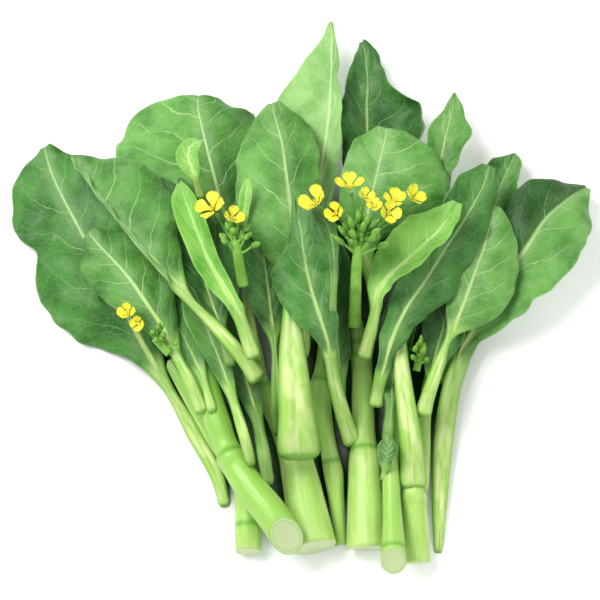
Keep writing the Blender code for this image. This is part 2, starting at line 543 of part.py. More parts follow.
def add_object(name, points, faces, surface):
    """A mesh object of one closed solid, its faces turned outwards."""
    corner = points[faces]
    volume = np.einsum("ij,ij->i", corner[:, 0], np.cross(corner[:, 1], corner[:, 2])).sum()
    if volume < 0:
        faces = faces[:, ::-1]
    mesh = bpy.data.meshes.new(name)
    mesh.from_pydata((points * MM).tolist(), [], faces.tolist())
    mesh.materials.append(surface)
    mesh.shade_smooth()
    mesh.set_sharp_from_angle(angle=math.radians(50))
    made = bpy.data.objects.new(name, mesh)
    bpy.context.scene.collection.objects.link(made)
    return made


def joined(pieces):
    """One solid from tubes that cross, as points in millimetres and triangles."""
    parts = bpy.data.collections.new("head_parts")
    bpy.context.scene.collection.children.link(parts)
    surface = bpy.data.materials.new("head_parts")
    objects = [add_object("head_part", points, faces, surface) for points, faces in pieces]
    for other in objects[1:]:
        bpy.context.scene.collection.objects.unlink(other)
        parts.objects.link(other)
    union = objects[0].modifiers.new("union", "BOOLEAN")
    union.operation = "UNION"
    union.operand_type = "COLLECTION"
    union.collection = parts
    union.solver = "MANIFOLD"
    graph = bpy.context.evaluated_depsgraph_get()
    mesh = bpy.data.meshes.new_from_object(objects[0].evaluated_get(graph))
    work = bmesh.new()
    work.from_mesh(mesh)
    bmesh.ops.triangulate(work, faces=work.faces)
    points = np.array([vert.co[:] for vert in work.verts]) / MM
    faces = np.array([[vert.index for vert in face.verts] for face in work.faces])
    work.free()
    for item in objects:
        bpy.data.objects.remove(item)
    bpy.data.collections.remove(parts)
    bpy.data.meshes.remove(mesh)
    bpy.data.materials.remove(surface)
    return outer_body(points, faces)


def outer_body(points, faces):
    """The one body with the most volume, without the hollows that fusing sealed and loose scraps."""
    group = np.arange(len(points))
    while True:
        low = group[faces].min(axis=1)
        before = group.copy()
        for k in range(3):
            np.minimum.at(group, faces[:, k], low)
        if (group == before).all():
            break
    corner = points[faces]
    parts = np.einsum("ij,ij->i", corner[:, 0], np.cross(corner[:, 1], corner[:, 2]))
    volume = np.zeros(len(points))
    np.add.at(volume, group[faces[:, 0]], parts)
    kept = faces[group[faces[:, 0]] == volume.argmax()]
    used = np.unique(kept)
    place = np.zeros(len(points), int)
    place[used] = np.arange(len(used))
    return points[used], place[kept]


def solids():
    """Every piece in laying order: name, points, triangles, colour."""
    heights = np.full(MAP_CELLS, -1e3)
    made = []
    for name, leaf in LEAVES.items():
        if leaf is None:
            points, faces = stalk_solid(STALKS[name], CUT_SLANTS.get(name, 0.0))
            points = lay(points, faces, heights, STALK_FADE)
            made.append((name, points, faces, STALK_GREEN))
            continue
        points, faces = leaf_solid(leaf)
        points = lay(points, faces, heights, LEAF_FADE)
        made.append((name, points, faces, LEAF_TONES.get(name, LEAF_GREEN)))
    for name, head in HEADS.items():
        points, faces = joined(head_pieces(head))
        points = lay(points, faces, heights, LEAF_FADE)
        made.append((name, points, faces, BUD_GREEN))
        for number, bloom in enumerate(head["blooms"], 1):
            points, faces = bloom_solid(head, bloom)
            points = lay(points, faces, heights, 1e3)
            made.append((f"{name.replace('flower_head', 'bloom')}_{number}", points, faces,
                         PETAL_YELLOW))
    return made


def main():
    for item in list(bpy.data.objects):
        bpy.data.objects.remove(item)
    made = solids()
    low = np.min([points.min(axis=0) for _, points, _, _ in made], axis=0)
    high = np.max([points.max(axis=0) for _, points, _, _ in made], axis=0)
    middle = (low + high) / 2
    shift = np.array([middle[0], middle[1], low[2]])
    for name, points, faces, colour in made:
        add_object(name, points - shift, faces, material(name, colour, 0.45))


main()
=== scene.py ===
"""Looks of the choy sum bunch: veined leaves, ribbed stalks, buds, blooms, floor, light and camera.

Tables are in millimetres, in the part's own table frame: X across the bunch, Y from the cut ends
to the leaf tips, Z up. Each fine piece follows the same rule as its solid, and takes from the
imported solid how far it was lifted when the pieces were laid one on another.
"""
import math

import bpy
import numpy as np
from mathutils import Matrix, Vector
from mathutils.bvhtree import BVHTree


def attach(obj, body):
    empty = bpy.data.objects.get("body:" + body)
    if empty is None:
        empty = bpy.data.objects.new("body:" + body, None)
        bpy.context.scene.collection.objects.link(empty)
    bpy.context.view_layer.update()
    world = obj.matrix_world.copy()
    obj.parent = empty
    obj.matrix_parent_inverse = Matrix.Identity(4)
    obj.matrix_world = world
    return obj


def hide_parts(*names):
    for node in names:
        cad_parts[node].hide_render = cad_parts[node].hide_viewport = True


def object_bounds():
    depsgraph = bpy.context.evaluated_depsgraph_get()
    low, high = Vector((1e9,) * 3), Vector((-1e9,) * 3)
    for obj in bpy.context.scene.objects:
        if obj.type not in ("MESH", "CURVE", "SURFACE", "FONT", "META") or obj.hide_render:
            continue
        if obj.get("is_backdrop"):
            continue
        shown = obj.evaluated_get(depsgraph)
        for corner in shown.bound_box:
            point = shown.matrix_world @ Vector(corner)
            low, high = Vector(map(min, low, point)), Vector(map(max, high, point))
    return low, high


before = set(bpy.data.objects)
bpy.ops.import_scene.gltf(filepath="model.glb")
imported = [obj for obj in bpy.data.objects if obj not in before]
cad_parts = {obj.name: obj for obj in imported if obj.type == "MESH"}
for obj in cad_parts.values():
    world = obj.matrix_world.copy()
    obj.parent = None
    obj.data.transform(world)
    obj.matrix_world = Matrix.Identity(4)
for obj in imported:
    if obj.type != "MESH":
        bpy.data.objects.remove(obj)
CAD_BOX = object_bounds()

MM = 0.001
# Values of the solids: steps between rows, half a blade's thickness, how flat a petiole is, the
# height of a stalk's middle as a share of its radius, sides of each kind and a bud's radius.
STEPS, BLADE_HALF, PETIOLE_FLAT, PRESSED = 2, 0.4, 0.78, 0.89
STALK_SIDES, STEM_SIDES, BUD_SIDES, BUD_BULK = 8, 6, 4, 2.1
# Half the width of a rib at the leaf's tip, its depth as a share of that, its least and its most,
# the least width of a side, and how far the wave of the right margin is ahead of the left one's.
RIB_TIP, RIB_DEEP, LEAST_RIB, MOST_RIB, LEAST_WIDTH, WAVE_SHIFT = 0.5, 0.6, 0.4, 0.5, 0.8, 1.7
# How slanted a cut is, and how far a slanted cut is set back.
CUT_SLANTS = {"stalk_1": 0.9, "stalk_6": 0.75, "stalk_2": 0.3, "stalk_3": 0.15}
CUT_LEAN = 0.4
# Rings of a bloom's solid: reach and rise as shares of the bloom's size.
CUP_RINGS = ((0.55, 0.18), (1.0, 0.42))
CUP_SIDES = 16

# Stalk rows: x, y, height of the underside, radius.
STALKS = {
    "stalk_4": [(20.2, 8, 0, 3), (18, 30, 0, 4), (16, 46, 0, 5), (15, 51, 0, 4.6),
                (11.5, 70, 0, 4.8), (10, 86, 0, 5.4), (11, 92, 0, 4.4), (13, 112, 1, 3.6)],
    "stalk_3": [(7, 7, 0, 11.4), (3.4, 24, 0, 10.3), (0, 41, 0, 9.3), (-3, 53, 0, 8.2),
                (-9, 66, 0, 5.9), (-15, 77, 0, 4.8), (-18.6, 84.5, 1, 5.4),
                (-19.6, 88.5, 2, 4.4), (-22, 102, 4, 3.9), (-25.3, 116, 6, 3.5), (-27.5, 127, 8, 3.1)],
    "stalk_5": [(33, 6, 0, 10.6), (32.6, 24, 0, 9.8), (32, 38, 0, 8.6), (31.8, 52, 0, 7.6),
                (31.6, 57, 0, 6.6), (31.2, 78, 1, 5.9), (30.6, 97, 4, 5.4), (30.3, 101, 5, 5.6),
                (29.6, 104.5, 8, 4.3), (28.2, 112, 12, 3.8), (27.6, 118, 15, 3.4)],
    "stalk_2": [(-25, 5, 0, 6.4), (-25, 13, 0, 6.8), (-25.5, 22, 0, 6.2), (-28.5, 38, 0, 4.8),
                (-42, 60, 0, 4.4), (-56, 84, 1, 4), (-64, 98, 2, 3.2)],
    "stalk_7": [(57.5, -1, 0, 6.8), (56.5, 15, 0, 6.6), (55.8, 28, 0, 6.5), (56, 32, 0, 6.9),
                (58.8, 36.5, 0, 4.6), (60.5, 52, 0, 3.8), (61, 68, 0, 3.6), (63, 84, 0, 3),
                (65.5, 98, 0, 2.4)],
    "stalk_6": [(45, 0.5, 8, 6.4), (45, 9, 6, 5.6), (44.4, 30, 1, 4.6), (44.2, 50, 0, 4.2),
                (45.5, 70, 0, 3.8), (47, 90, 0, 3.6), (47, 110, 2, 3)],
    "stalk_1": [(-8, 12.5, 19, 8.2), (-14.5, 22, 16, 8.4), (-24, 34, 12, 8), (-31, 45, 9, 7.4),
                (-33, 48.5, 8, 7.8), (-34.5, 52, 8, 6.6), (-40, 66, 6, 6.8), (-45, 82, 6, 6.4),
                (-49, 98, 6, 5.6), (-53, 112, 6, 4.4)],
}

# Leaf entries: petiole rows x, y, height of the underside, radius, then blade rows x, y, height of
# the midrib, width to the left, width to the right. fold is the angle at which each side leaves
# the midrib, curl how much more it turns by its edge (left, right), wave its edge's height and
# number of waves, and wings the columns on each side of the rib. Pieces are built in this order,
# and None is a stalk's place in it.
LEAVES = {
    "leaf_curled": dict(
        petiole=[(69, 88, 0, 3), (77, 112, 1, 2.8), (84, 132, 2, 2.6)],
        blade=[(87, 148, 5, 6, 6), (91, 161, 8, 12, 11), (96, 175, 10, 14, 12), (101, 188, 10, 13, 10),
               (105, 197, 8, 9, 8), (107, 203, 6, 1.2, 1.5)],
        fold=(12, 20), curl=(24, 40), wave=(1.2, 2)),
    "leaf_right_big": dict(
        petiole=[(67.8, 4, 0, 2.2), (68.6, 30, 0, 3.9), (70.8, 60, 1, 5), (76.2, 90, 4, 4.8)],
        blade=[(82, 108, 10, 5, 7), (91, 122, 14, 12, 14), (101, 137, 16, 16, 21),
               (112, 153, 16, 20, 26), (121.5, 167, 14, 21, 25), (131, 176, 11, 17, 19),
               (137.5, 181.5, 8, 8, 10), (143, 185, 6, 2, 2)],
        fold=(-4, 16), curl=(-18, 14), wave=(2.6, 3), wings=3),
    "leaf_left_big": dict(
        petiole=[(-36.8, 27, 0, 2.6), (-40, 40, 0, 3.4), (-51.5, 62, 0, 4), (-68, 90, 2, 3.6)],
        blade=[(-76, 104, 7, 10, 8), (-84, 118, 10, 25, 16), (-92, 132, 12, 33, 22),
               (-102, 150, 13, 34, 27), (-110, 165, 12, 26, 28), (-117, 178, 10, 30, 26),
               (-124, 193, 8, 22, 18), (-127, 202, 6, 12, 10), (-128, 207, 5, 3, 3)],
        fold=(-6, 4), curl=(-16, 12), wave=(2.6, 4), wings=3),
    "stalk_4": None, "stalk_3": None, "stalk_5": None, "stalk_2": None, "stalk_7": None,
    "stalk_6": None, "stalk_1": None,
    "leaf_back_dark": dict(
        petiole=[(22, 124, 4, 3), (27, 140, 5, 2.8), (31, 160, 6, 2.6)],
        blade=[(32, 180, 7, 8, 9), (33, 195, 9, 12, 20), (33.5, 207, 11, 13, 29),
               (33.5, 219, 12, 14, 31), (33.5, 228, 12, 13, 28), (34, 236, 12, 12, 13),
               (33.5, 246, 12, 9, 9), (32, 256, 11, 4, 6), (31, 260, 10, 1, 2)],
        fold=(10, -16), curl=(16, 66), wave=(2.4, 3)),
    "leaf_low_right_a": dict(
        petiole=[(42.5, 50, 2, 2.8), (43, 62, 4, 2.8), (44, 74, 6, 2.4)],
        blade=[(45, 84, 7, 5, 5), (47, 102, 9, 9, 8), (51, 122, 10, 9, 8), (54, 136, 10, 1.2, 1.2)],
        fold=(18, 22), curl=(16, 18), wave=(0.8, 2), wings=1),
    "leaf_rolled": dict(
        petiole=[(55.4, 34.5, 8, 6.2), (54.4, 50, 8, 5.8), (51.4, 75, 8, 4.7), (49, 97, 8, 3.9),
                 (48.5, 112, 8, 3.2), (53, 142, 7, 2.6)],
        blade=[(63, 168, 8, 5, 5), (67, 184, 10, 7.5, 8), (70, 198, 11, 10, 9),
               (73, 212, 10, 8.5, 14.5), (75.5, 222, 9, 5, 8), (77.5, 233, 8, 1, 1)],
        fold=(12, 10), curl=(16, 40), wave=(0.8, 2)),
    "leaf_round": dict(
        petiole=[(-21, 96, 14, 3), (-26, 124, 12, 2.8), (-30, 148, 10, 2.6)],
        blade=[(-33, 160, 12, 14, 12), (-38, 173, 14, 34, 20), (-42, 188, 16, 45, 25),
               (-46, 203, 16, 48, 29), (-49, 216, 15, 43, 31), (-51, 226, 13, 33, 27),
               (-51, 232, 11, 14, 13)],
        fold=(4, 8), curl=(-22, -58), wave=(1.6, 2), wings=3),
    "leaf_tall_pale": dict(
        petiole=[(2, 100, 14, 3), (4, 130, 14, 2.6)],
        blade=[(7, 160, 14, 6, 5), (10, 186, 16, 13, 8), (13, 208, 18, 21, 8),
               (15, 226, 19, 27, 6), (15.5, 236, 19, 22, 4.5), (16, 250, 18, 13, 3.5),
               (16, 262, 17, 5, 2), (15.5, 269, 16, 1, 1)],
        fold=(-4, 10), curl=(-14, 20), wave=(0.8, 2)),
    "leaf_pale_oval": dict(
        petiole=[(38, 124, 10, 3), (34, 140, 12, 2.6)],
        blade=[(31, 158, 16, 8, 10), (34, 172, 19, 15, 27), (37, 185, 21, 17, 38),
               (40, 197, 21, 16, 35), (42, 206, 20, 13, 26), (43, 212, 19, 5, 9)],
        fold=(8, 4), curl=(-10, -26), wave=(1.4, 2)),
    "leaf_low_right_b": dict(
        petiole=[(62, 74, 6, 2.4), (64, 88, 7, 2.2)],
        blade=[(66, 98, 9, 6, 7), (70, 112, 11, 11, 12), (73, 127, 12, 13, 12), (76, 142, 11, 9, 9),
               (78, 153, 10, 1.2, 1.2)],
        fold=(16, 16), curl=(14, 14), wave=(1.4, 2), wings=1),
    "leaf_low_left_a": dict(
        petiole=[(-42, 70, 16, 2.6), (-47, 86, 15, 2.4)],
        blade=[(-52, 98, 15, 6, 6), (-59, 112, 15, 11, 10), (-66, 126, 15, 11, 9),
               (-73, 139, 14, 1.2, 1.2)],
        fold=(14, 22), curl=(20, 24), wave=(1.2, 2), wings=1),
    "leaf_low_left_b": dict(
        petiole=[(-15, 35, 0, 2.8), (-17.5, 50, 2, 3.2), (-20.5, 66, 4, 3)],
        blade=[(-24, 80, 6, 6, 6), (-30, 98, 8, 8, 8), (-37, 118, 9, 9, 9), (-44, 140, 9, 1.2, 1.2)],
        fold=(16, 22), curl=(16, 20), wave=(1, 2), wings=1),
    "leaf_low_left_c": dict(
        petiole=[(-23, 44, 1, 2.5), (-27.5, 60, 3, 2.7), (-33, 78, 5, 2.6)],
        blade=[(-37, 90, 8, 5, 5), (-43, 105, 9, 8, 8), (-50, 121, 10, 8, 7), (-56, 135, 10, 1.2, 1.2)],
        fold=(16, 16), curl=(16, 16), wave=(1, 2), wings=1),
    "leaf_small_round": dict(
        petiole=[(-47, 70, 16, 3.4), (-54, 86, 15, 3), (-60, 98, 15, 2.8)],
        blade=[(-66, 110, 17, 6, 8), (-74, 122, 20, 12, 16), (-83, 135, 22, 18, 17),
               (-92, 146, 22, 18, 16), (-100, 155, 20, 13, 12), (-104, 160, 18, 4, 4)],
        fold=(-6, -4), curl=(-34, -20), wave=(1.8, 3)),
    "leaf_dark_a": dict(
        petiole=[(-33, 92, 16, 3), (-38, 108, 16, 2.8)],
        blade=[(-42, 120, 17, 6, 8), (-48, 138, 19, 12, 13), (-55, 156, 20, 14, 14),
               (-62, 173, 19, 10, 10), (-69, 186, 17, 1.5, 1.5)],
        fold=(30, 10), curl=(30, 10), wave=(1.2, 2), wings=1),
    "leaf_folded_left": dict(
        petiole=[(-19.5, 85.5, 12, 4.6), (-26, 93.5, 13, 3.8), (-39, 108, 15, 3.2), (-56, 126, 18, 3.2)],
        blade=[(-66, 136, 23, 4.5, 13), (-76, 147, 25, 5.5, 24), (-86, 160, 26, 6, 29),
               (-96, 173, 25, 6, 29), (-104, 184, 23, 5, 22), (-109, 191, 21, 4, 13),
               (-113, 197, 19, 1.5, 2)],
        fold=(70, -4), curl=(40, -18), wave=(1.6, 3)),
    "leaf_dark_b": dict(
        petiole=[(-26, 104, 20, 2.6), (-31, 118, 21, 2.4)],
        blade=[(-35, 130, 22, 6, 6), (-41, 146, 24, 10, 9), (-48, 162, 24, 10, 9),
               (-55, 176, 23, 6, 6), (-59, 184, 22, 1.2, 1.2)],
        fold=(26, 20), curl=(24, 20), wave=(0.8, 2), wings=1),
    "leaf_hidden_left": dict(
        petiole=[(-10.5, 60, 6, 2.8), (-11, 80, 10, 2.8), (-12.5, 104, 12, 2.6)],
        blade=[(-14, 117, 13, 8, 8), (-16, 133, 14, 13, 13), (-18.5, 152, 14, 13, 12),
               (-21, 173, 12, 1.2, 1.2)],
        fold=(14, 14), curl=(14, 16), wave=(1, 2), wings=1),
    "leaf_hidden_back": dict(
        petiole=[(20, 72, 4, 3), (20, 88, 6, 2.8)],
        blade=[(19, 100, 8, 8, 6), (17.5, 118, 10, 12, 8), (16.2, 140, 11, 13.5, 11),
               (14, 166, 10, 1.5, 1.5)],
        fold=(18, 18), curl=(16, 16), wave=(1, 2), wings=1),
    "leaf_centre": dict(
        petiole=[(-0.2, 47.5, 13, 9.6), (-0.8, 58, 12.5, 9.2), (-2.4, 78, 12, 7.8), (-3.6, 97, 12, 6.4),
                 (-3.8, 110, 13, 5), (-3.8, 120, 15, 4.2)],
        blade=[(-3, 132, 22, 6, 6), (-2.5, 143, 25, 14, 9), (-3, 156, 28, 22, 13),
               (-5, 172, 30, 26, 15), (-7, 189, 30, 25, 17), (-9, 204, 28, 21, 17),
               (-12, 216, 25, 14, 13), (-14, 225, 22, 3, 4)],
        fold=(10, 8), curl=(-34, -24), wave=(1.8, 3), wings=3),
    "leaf_mid_dark": dict(
        petiole=[(26.6, 56.5, 12, 4.4), (21.2, 69.5, 13, 3.9), (16.8, 84, 15, 3.4), (14.8, 94, 17, 3.2)],
        blade=[(13.5, 101, 22, 4.4, 4.8), (9, 115, 26, 12.5, 11), (5, 128, 27, 16.5, 13),
               (3, 138, 27, 17, 14), (1.5, 147, 27, 9, 13), (0.5, 155, 26, 5.5, 11.5),
               (-1, 164, 25, 3, 7.5), (-2.5, 174, 24, 1, 1.5)],
        fold=(6, 20), curl=(-18, 22), wave=(1.6, 2)),
    "leaf_right_oval": dict(
        petiole=[(59.5, 69, 8, 3.8), (62.5, 79, 9, 3.4), (67.5, 93, 13, 3), (74, 109, 18, 2.7)],
        blade=[(78, 119, 24, 7, 14), (82, 129, 26, 12, 20), (86, 140, 28, 14, 21),
               (90, 151, 28, 14, 18), (93, 161, 27, 12, 13), (95, 168, 26, 8, 8),
               (96, 172, 25, 2, 2)],
        fold=(10, 8), curl=(-14, -22), wave=(1.2, 3)),
    "leaf_right_long": dict(
        petiole=[(37, 74, 10, 3.4), (38.5, 84, 12, 3.1)],
        blade=[(41, 94, 17, 4, 4), (45, 106, 22, 6, 7), (51, 119, 26, 9, 11), (60, 132, 30, 13, 15),
               (69, 146, 31, 14, 15.5), (78, 160, 31, 14, 14), (85, 172, 30, 14, 11),
               (90, 182, 28, 13, 9), (93, 192, 26, 3.5, 3.5)],
        fold=(14, -4), curl=(16, -36), wave=(1.4, 3)),
    "leaf_bright_folded": dict(
        petiole=[(-22, 94, 14, 3.6), (-25.5, 104, 17, 3.4), (-28.5, 112, 20, 3.2)],
        blade=[(-31.5, 119, 25, 4.5, 5), (-36.8, 128, 28, 7, 5.5), (-42.4, 138, 30, 8.5, 7),
               (-47.5, 150, 31, 9, 8), (-52.5, 163, 31, 9, 8), (-56.5, 174, 30, 6.5, 6),
               (-58.5, 180, 28, 1.5, 1.5)],
        fold=(26, 36), curl=(10, 24), wave=(1.3, 3)),
    "leaf_curved_small": dict(
        petiole=[(-48, 172, 34, 2), (-50, 179, 35, 1.8)],
        blade=[(-52, 185, 37, 5, 4.5), (-54, 192, 38, 6.5, 6), (-52.5, 197, 38, 5, 5.5),
               (-49, 200, 37, 1.8, 2)],
        fold=(20, 20), curl=(20, 20), wave=(0.4, 1), wings=1),
    "leaf_bright_top": dict(
        petiole=[(31, 96.5, 14, 3.7), (34.2, 108, 16, 3.1), (36.6, 118.5, 21, 2.8)],
        blade=[(38.4, 127, 30, 6, 4), (43.4, 133.6, 35, 12, 6), (50.6, 140.4, 38, 15.5, 7.5),
               (58.5, 147.4, 40, 16.5, 8), (66.4, 155.4, 40, 14, 8), (72.5, 163.5, 38, 9, 7),
               (76.8, 170, 37, 2.8, 2.8)],
        fold=(2, 40), curl=(-20, 6), wave=(0.9, 2)),
    "leaf_narrow": dict(
        petiole=[(15.5, 112, 20, 2), (16, 126, 26, 1.9)],
        blade=[(16.5, 138, 30, 2.6, 2.6), (15, 150, 33, 4.4, 4), (10, 163, 34, 4.5, 4.5),
               (3, 175, 33, 1.2, 1.2)],
        fold=(16, 30), curl=(10, 30), wave=(0.5, 2), wings=1),
    "leaf_bract": dict(
        petiole=[(-29, 146, 30, 1.8), (-28, 156, 33, 1.8)],
        blade=[(-27, 163, 36, 3, 3), (-26, 172, 38, 4, 4), (-25, 181, 38, 1.2, 1.2)],
        fold=(30, 30), curl=(20, 20), wave=(0.4, 1), wings=1),
    "leaf_curly_side": dict(
        petiole=[(40.5, 38, 14, 1.6), (41, 43, 15, 1.6)],
        blade=[(41.5, 47, 17, 4.5, 4.5), (42.5, 53, 18, 7, 7), (43, 59, 18, 1.2, 1.2)],
        fold=(20, 30), curl=(50, 40), wave=(1.4, 3)),
}

# Flower heads: rows of the thin stem, then the head's centre, size and number of closed buds,
# and for each bloom its x, y, height above its stem's top, size and facing (right, up the bunch).
HEADS = {
    "flower_head_left": dict(
        stem=[(-27.2, 129, 22, 2.8), (-29, 138, 27, 2.5), (-30.6, 148, 31, 2.2)],
        buds=14, spread=(10, 16),
        blooms=[(-41.2, 163.5, 7, 6.2, -0.6, 0.5), (-32.5, 158, 7, 4.4, 0.5, 0.3)]),
    "flower_head_main": dict(
        stem=[(26.8, 112, 20, 3.3), (26.8, 121, 23, 3), (26.9, 131, 27, 2.7), (27.2, 139, 32, 2.4),
              (28, 146, 36, 2.1)],
        buds=20, spread=(14, 16),
        blooms=[(8.6, 164.5, 7, 6.2, -0.7, 0.5), (17.6, 159.5, 7, 4.4, -0.4, 0.1),
                (24, 172, 8, 5.6, -0.2, 0.9), (30.6, 166.5, 7, 3.6, 0.4, 0.5),
                (35.2, 161.5, 7, 3.2, 0, 0.3), (41.5, 158.5, 7, 4.6, 0.3, -0.1),
                (45, 167.4, 7, 4.6, 0.2, 0.6), (53, 168.4, 7, 5, 0.8, 0.6)]),
    "flower_head_small": dict(
        stem=[(-63, 98, 20, 2.2), (-70, 105, 22, 2)],
        buds=6, spread=(6, 6),
        blooms=[(-82.5, 116.5, 6, 4, -0.5, 0.3), (-77.5, 111.5, 6, 3.4, -0.2, -0.2)]),
    "flower_head_closed": dict(
        stem=[(57, 92, 20, 2), (59, 100, 22, 1.8)],
        buds=7, spread=(5, 6), blooms=[]),
}

# Fineness of the pieces: rows for each row of the solid, and points across or round.
LEAF_FINER, LEAF_ACROSS = 7, 49
SMALL_FINER, SMALL_ACROSS = 5, 29
STALK_FINER, STALK_ROUND = 5, 40
STEM_FINER, STEM_ROUND = 8, 20
PEDICEL_SIDES = 8
BUD_RINGS, BUD_ROUND = 11, 16
PETAL_ROWS, PETAL_ACROSS = 15, 13

# A leaf narrower than this on each side is small, and has this share of a large one's relief.
SMALL_WIDTH = 12
SMALL_RUFFLE, SMALL_BILLOW, SMALL_QUILT = 0.35, 0.25, 0.5
# Half the thickness of a blade's margin, the heights of ruffles, billows and quilting, the ruffles'
# shares with their lengths, the billows' lengths, and the scallops' share of the width and length.
MARGIN_HALF = 0.14
RUFFLE, BILLOW, QUILT = 0.55, 0.8, 0.42
RUFFLE_WAVES = ((1.0, 19.0), (0.6, 11.0), (0.25, 6.0))
BILLOW_WAVES = (34.0, 21.0)
SCALLOP, SCALLOP_WAVE = 0.012, 14.0
# The groove along a petiole, and how far a midrib stands out above as a share of below.
GROOVE, GROOVE_WIDTH, RIB_ABOVE = 0.22, 0.3, 0.25
# A petiole's base: its width at the end, and in radii how soon it is round, with the height, the
# place and the length of its collar.
BASE_NARROW, BASE_ROUND = 0.72, 0.4
COLLAR, COLLAR_PLACE, COLLAR_LENGTH = 0.09, 0.7, 0.8
# Side veins from base to tip, how they lean and bend to the tip, and how far the right side's are
# ahead of the left side's.
SIDE_VEINS, VEIN_LEAN, VEIN_BEND, VEIN_AHEAD = 6.5, 1.15, 0.55, 0.45

# How far a stem's base is let into what lies under it, the most that it comes down, and the length
# over which it does. Then the same for a petiole, the first and the last in radii.
SUNK, MOST_STEM_SUNK, STEM_BEND = 1.0, 12.0, 18.0
PETIOLE_SUNK, MOST_SUNK, PETIOLE_BEND = 0.75, 9.0, 5.0
# How far a bloom is set down on its pedicel, and the least height over the floor.
BLOOM_LOWER = 1.1
FLOOR_GAP = 0.03
# Points of the table and of the solid nearer than this across the bunch are the same point, and
# nearer than this in height the same level.
SAME_PLACE, SAME_LEVEL = 0.006, 0.002

# A stalk's relief as shares of its radius: the level under its ribs, the ribs' heights with their
# number, its unevenness with the length of that, and how much narrower it gets at its upper end.
STALK_UNDER, STALK_RIBS = 0.965, ((0.010, 7), (0.007, 13))
UNEVEN, UNEVEN_WAVE, END_NARROW = 0.012, 9, 0.75
# Rings of a cut face: share of its radius, and how far it stands out.
FACE_RINGS = ((0.94, 0.25), (0.80, 0.18), (0.45, 0.05))
# A joint is where the radius falls below this share over less than this length.
JOINT_STEP, JOINT_LENGTH, CREASE_WIDTH = 0.92, 12, 1.6

# The turn from one bud to the next, and how far under a bloom's centre its pedicel ends.
GOLDEN_TURN, CUP_GAP = math.radians(137.5), 2.4
# A fine bud's neck as a share of the way to its tip, its length past that, its groove and the
# least and greatest thickness. Then the thickness, way out, way along and height of the top buds.
BUD_NECK, BUD_LENGTH, BUD_GROOVE, BUD_THICK = 0.62, 1.12, 0.07, (1.45, 1.95)
TOP_THICK, TOP_OUT, TOP_ALONG, TOP_UP = (1.1, 1.5), (1.5, 5.0), (1, 7), 4
# A petal's size as a share of its bloom's, how steep it is in radians at its tip, least and most,
# and at its claw, and its thickness.
PETAL_SIZE, PETAL_LEAN, PETAL_STEEP, PETAL_THICK = 1.34, (0.10, 0.75), 1.15, 0.16
# How far a petal is turned out of its place, and a tuft's stamens: number, lean and height as
# shares of the bloom's size, and radii from foot to tip.
PETAL_TURN = 0.14
STAMENS, STAMEN_LEAN, STAMEN_HEIGHT = 6, 0.22, (0.42, 0.55)
STAMEN_RADII = (0.2, 0.2, 0.2, 0.42, 0.25)

# Greens of the leaves: the darker and the lighter green of the blade, and its veins. The shade greens are
# painted shade, for a half that faces away from the light, and the deep greens are partly a leaf's own dark
# green and partly painted shade on leaves lying low under others.
TONES = {
    "shade": ((0.012, 0.062, 0.010), (0.034, 0.122, 0.024), (0.16, 0.33, 0.10)),
    "deep": ((0.018, 0.092, 0.013), (0.046, 0.172, 0.030), (0.27, 0.47, 0.17)),
    "lush": ((0.025, 0.135, 0.016), (0.066, 0.245, 0.036), (0.37, 0.60, 0.24)),
    "mid": ((0.040, 0.175, 0.022), (0.105, 0.310, 0.052), (0.44, 0.66, 0.28)),
    "fresh": ((0.070, 0.250, 0.034), (0.165, 0.415, 0.086), (0.50, 0.72, 0.33)),
    "pale": ((0.175, 0.400, 0.090), (0.290, 0.560, 0.165), (0.55, 0.77, 0.38)),
    "bright": ((0.100, 0.355, 0.030), (0.225, 0.545, 0.075), (0.57, 0.84, 0.32)),
}
# The leaves by the tones on the left and on the right of the midrib. The shade tone of right_big is painted
# shade on its half that faces away from the light, and the deep tone is partly painted shade on leaves
# lying under others.
TONE_LEAVES = {
    ("lush", "mid"): "curled", ("shade", "fresh"): "right_big", ("pale", "pale"): "tall_pale",
    ("deep", "lush"): "low_right_b", ("fresh", "fresh"): "pale_oval right_oval",
    ("lush", "lush"): "left_big low_left_a mid_dark right_long",
    ("mid", "mid"): "small_round low_left_c",
    ("fresh", "mid"): "rolled round folded_left centre curly_side",
    ("bright", "bright"): "bright_folded curved_small bright_top bract",
    ("deep", "deep"): "back_dark low_left_b dark_a dark_b hidden_back low_right_a narrow hidden_left",
}
LEAF_TONES = {f"leaf_{name}": tones for tones, names in TONE_LEAVES.items() for name in names.split()}
TONE_SLOTS = {"shade": "leaf_dark", "deep": "leaf_dark", "lush": "leaf", "mid": "leaf", "fresh": "leaf",
              "pale": "leaf_pale", "bright": "leaf_pale"}
# How much of its blade's green the petiole of a dark leaf has, as painted shade on the petioles of leaves
# lying under others, and how much wider a pale midrib is.
PETIOLE_PAINTED_SHADE = {"deep": 0.55}
RIB_WIDE = {"bright": 1.8}
WAX, UNDERSIDE = (0.30, 0.48, 0.22), (0.45, 0.62, 0.38)
# The stalks' cream is partly their own pale skin and partly painted highlight.
STALK_PALE, STALK_CREAM_AND_HIGHLIGHT = (0.60, 0.79, 0.25), (0.75, 0.84, 0.38)
STALK_GREEN, STALK_DEEP = (0.25, 0.57, 0.062), (0.095, 0.35, 0.024)
CUT_PALE, CUT_PITH = (0.60, 0.72, 0.36), (0.74, 0.82, 0.55)
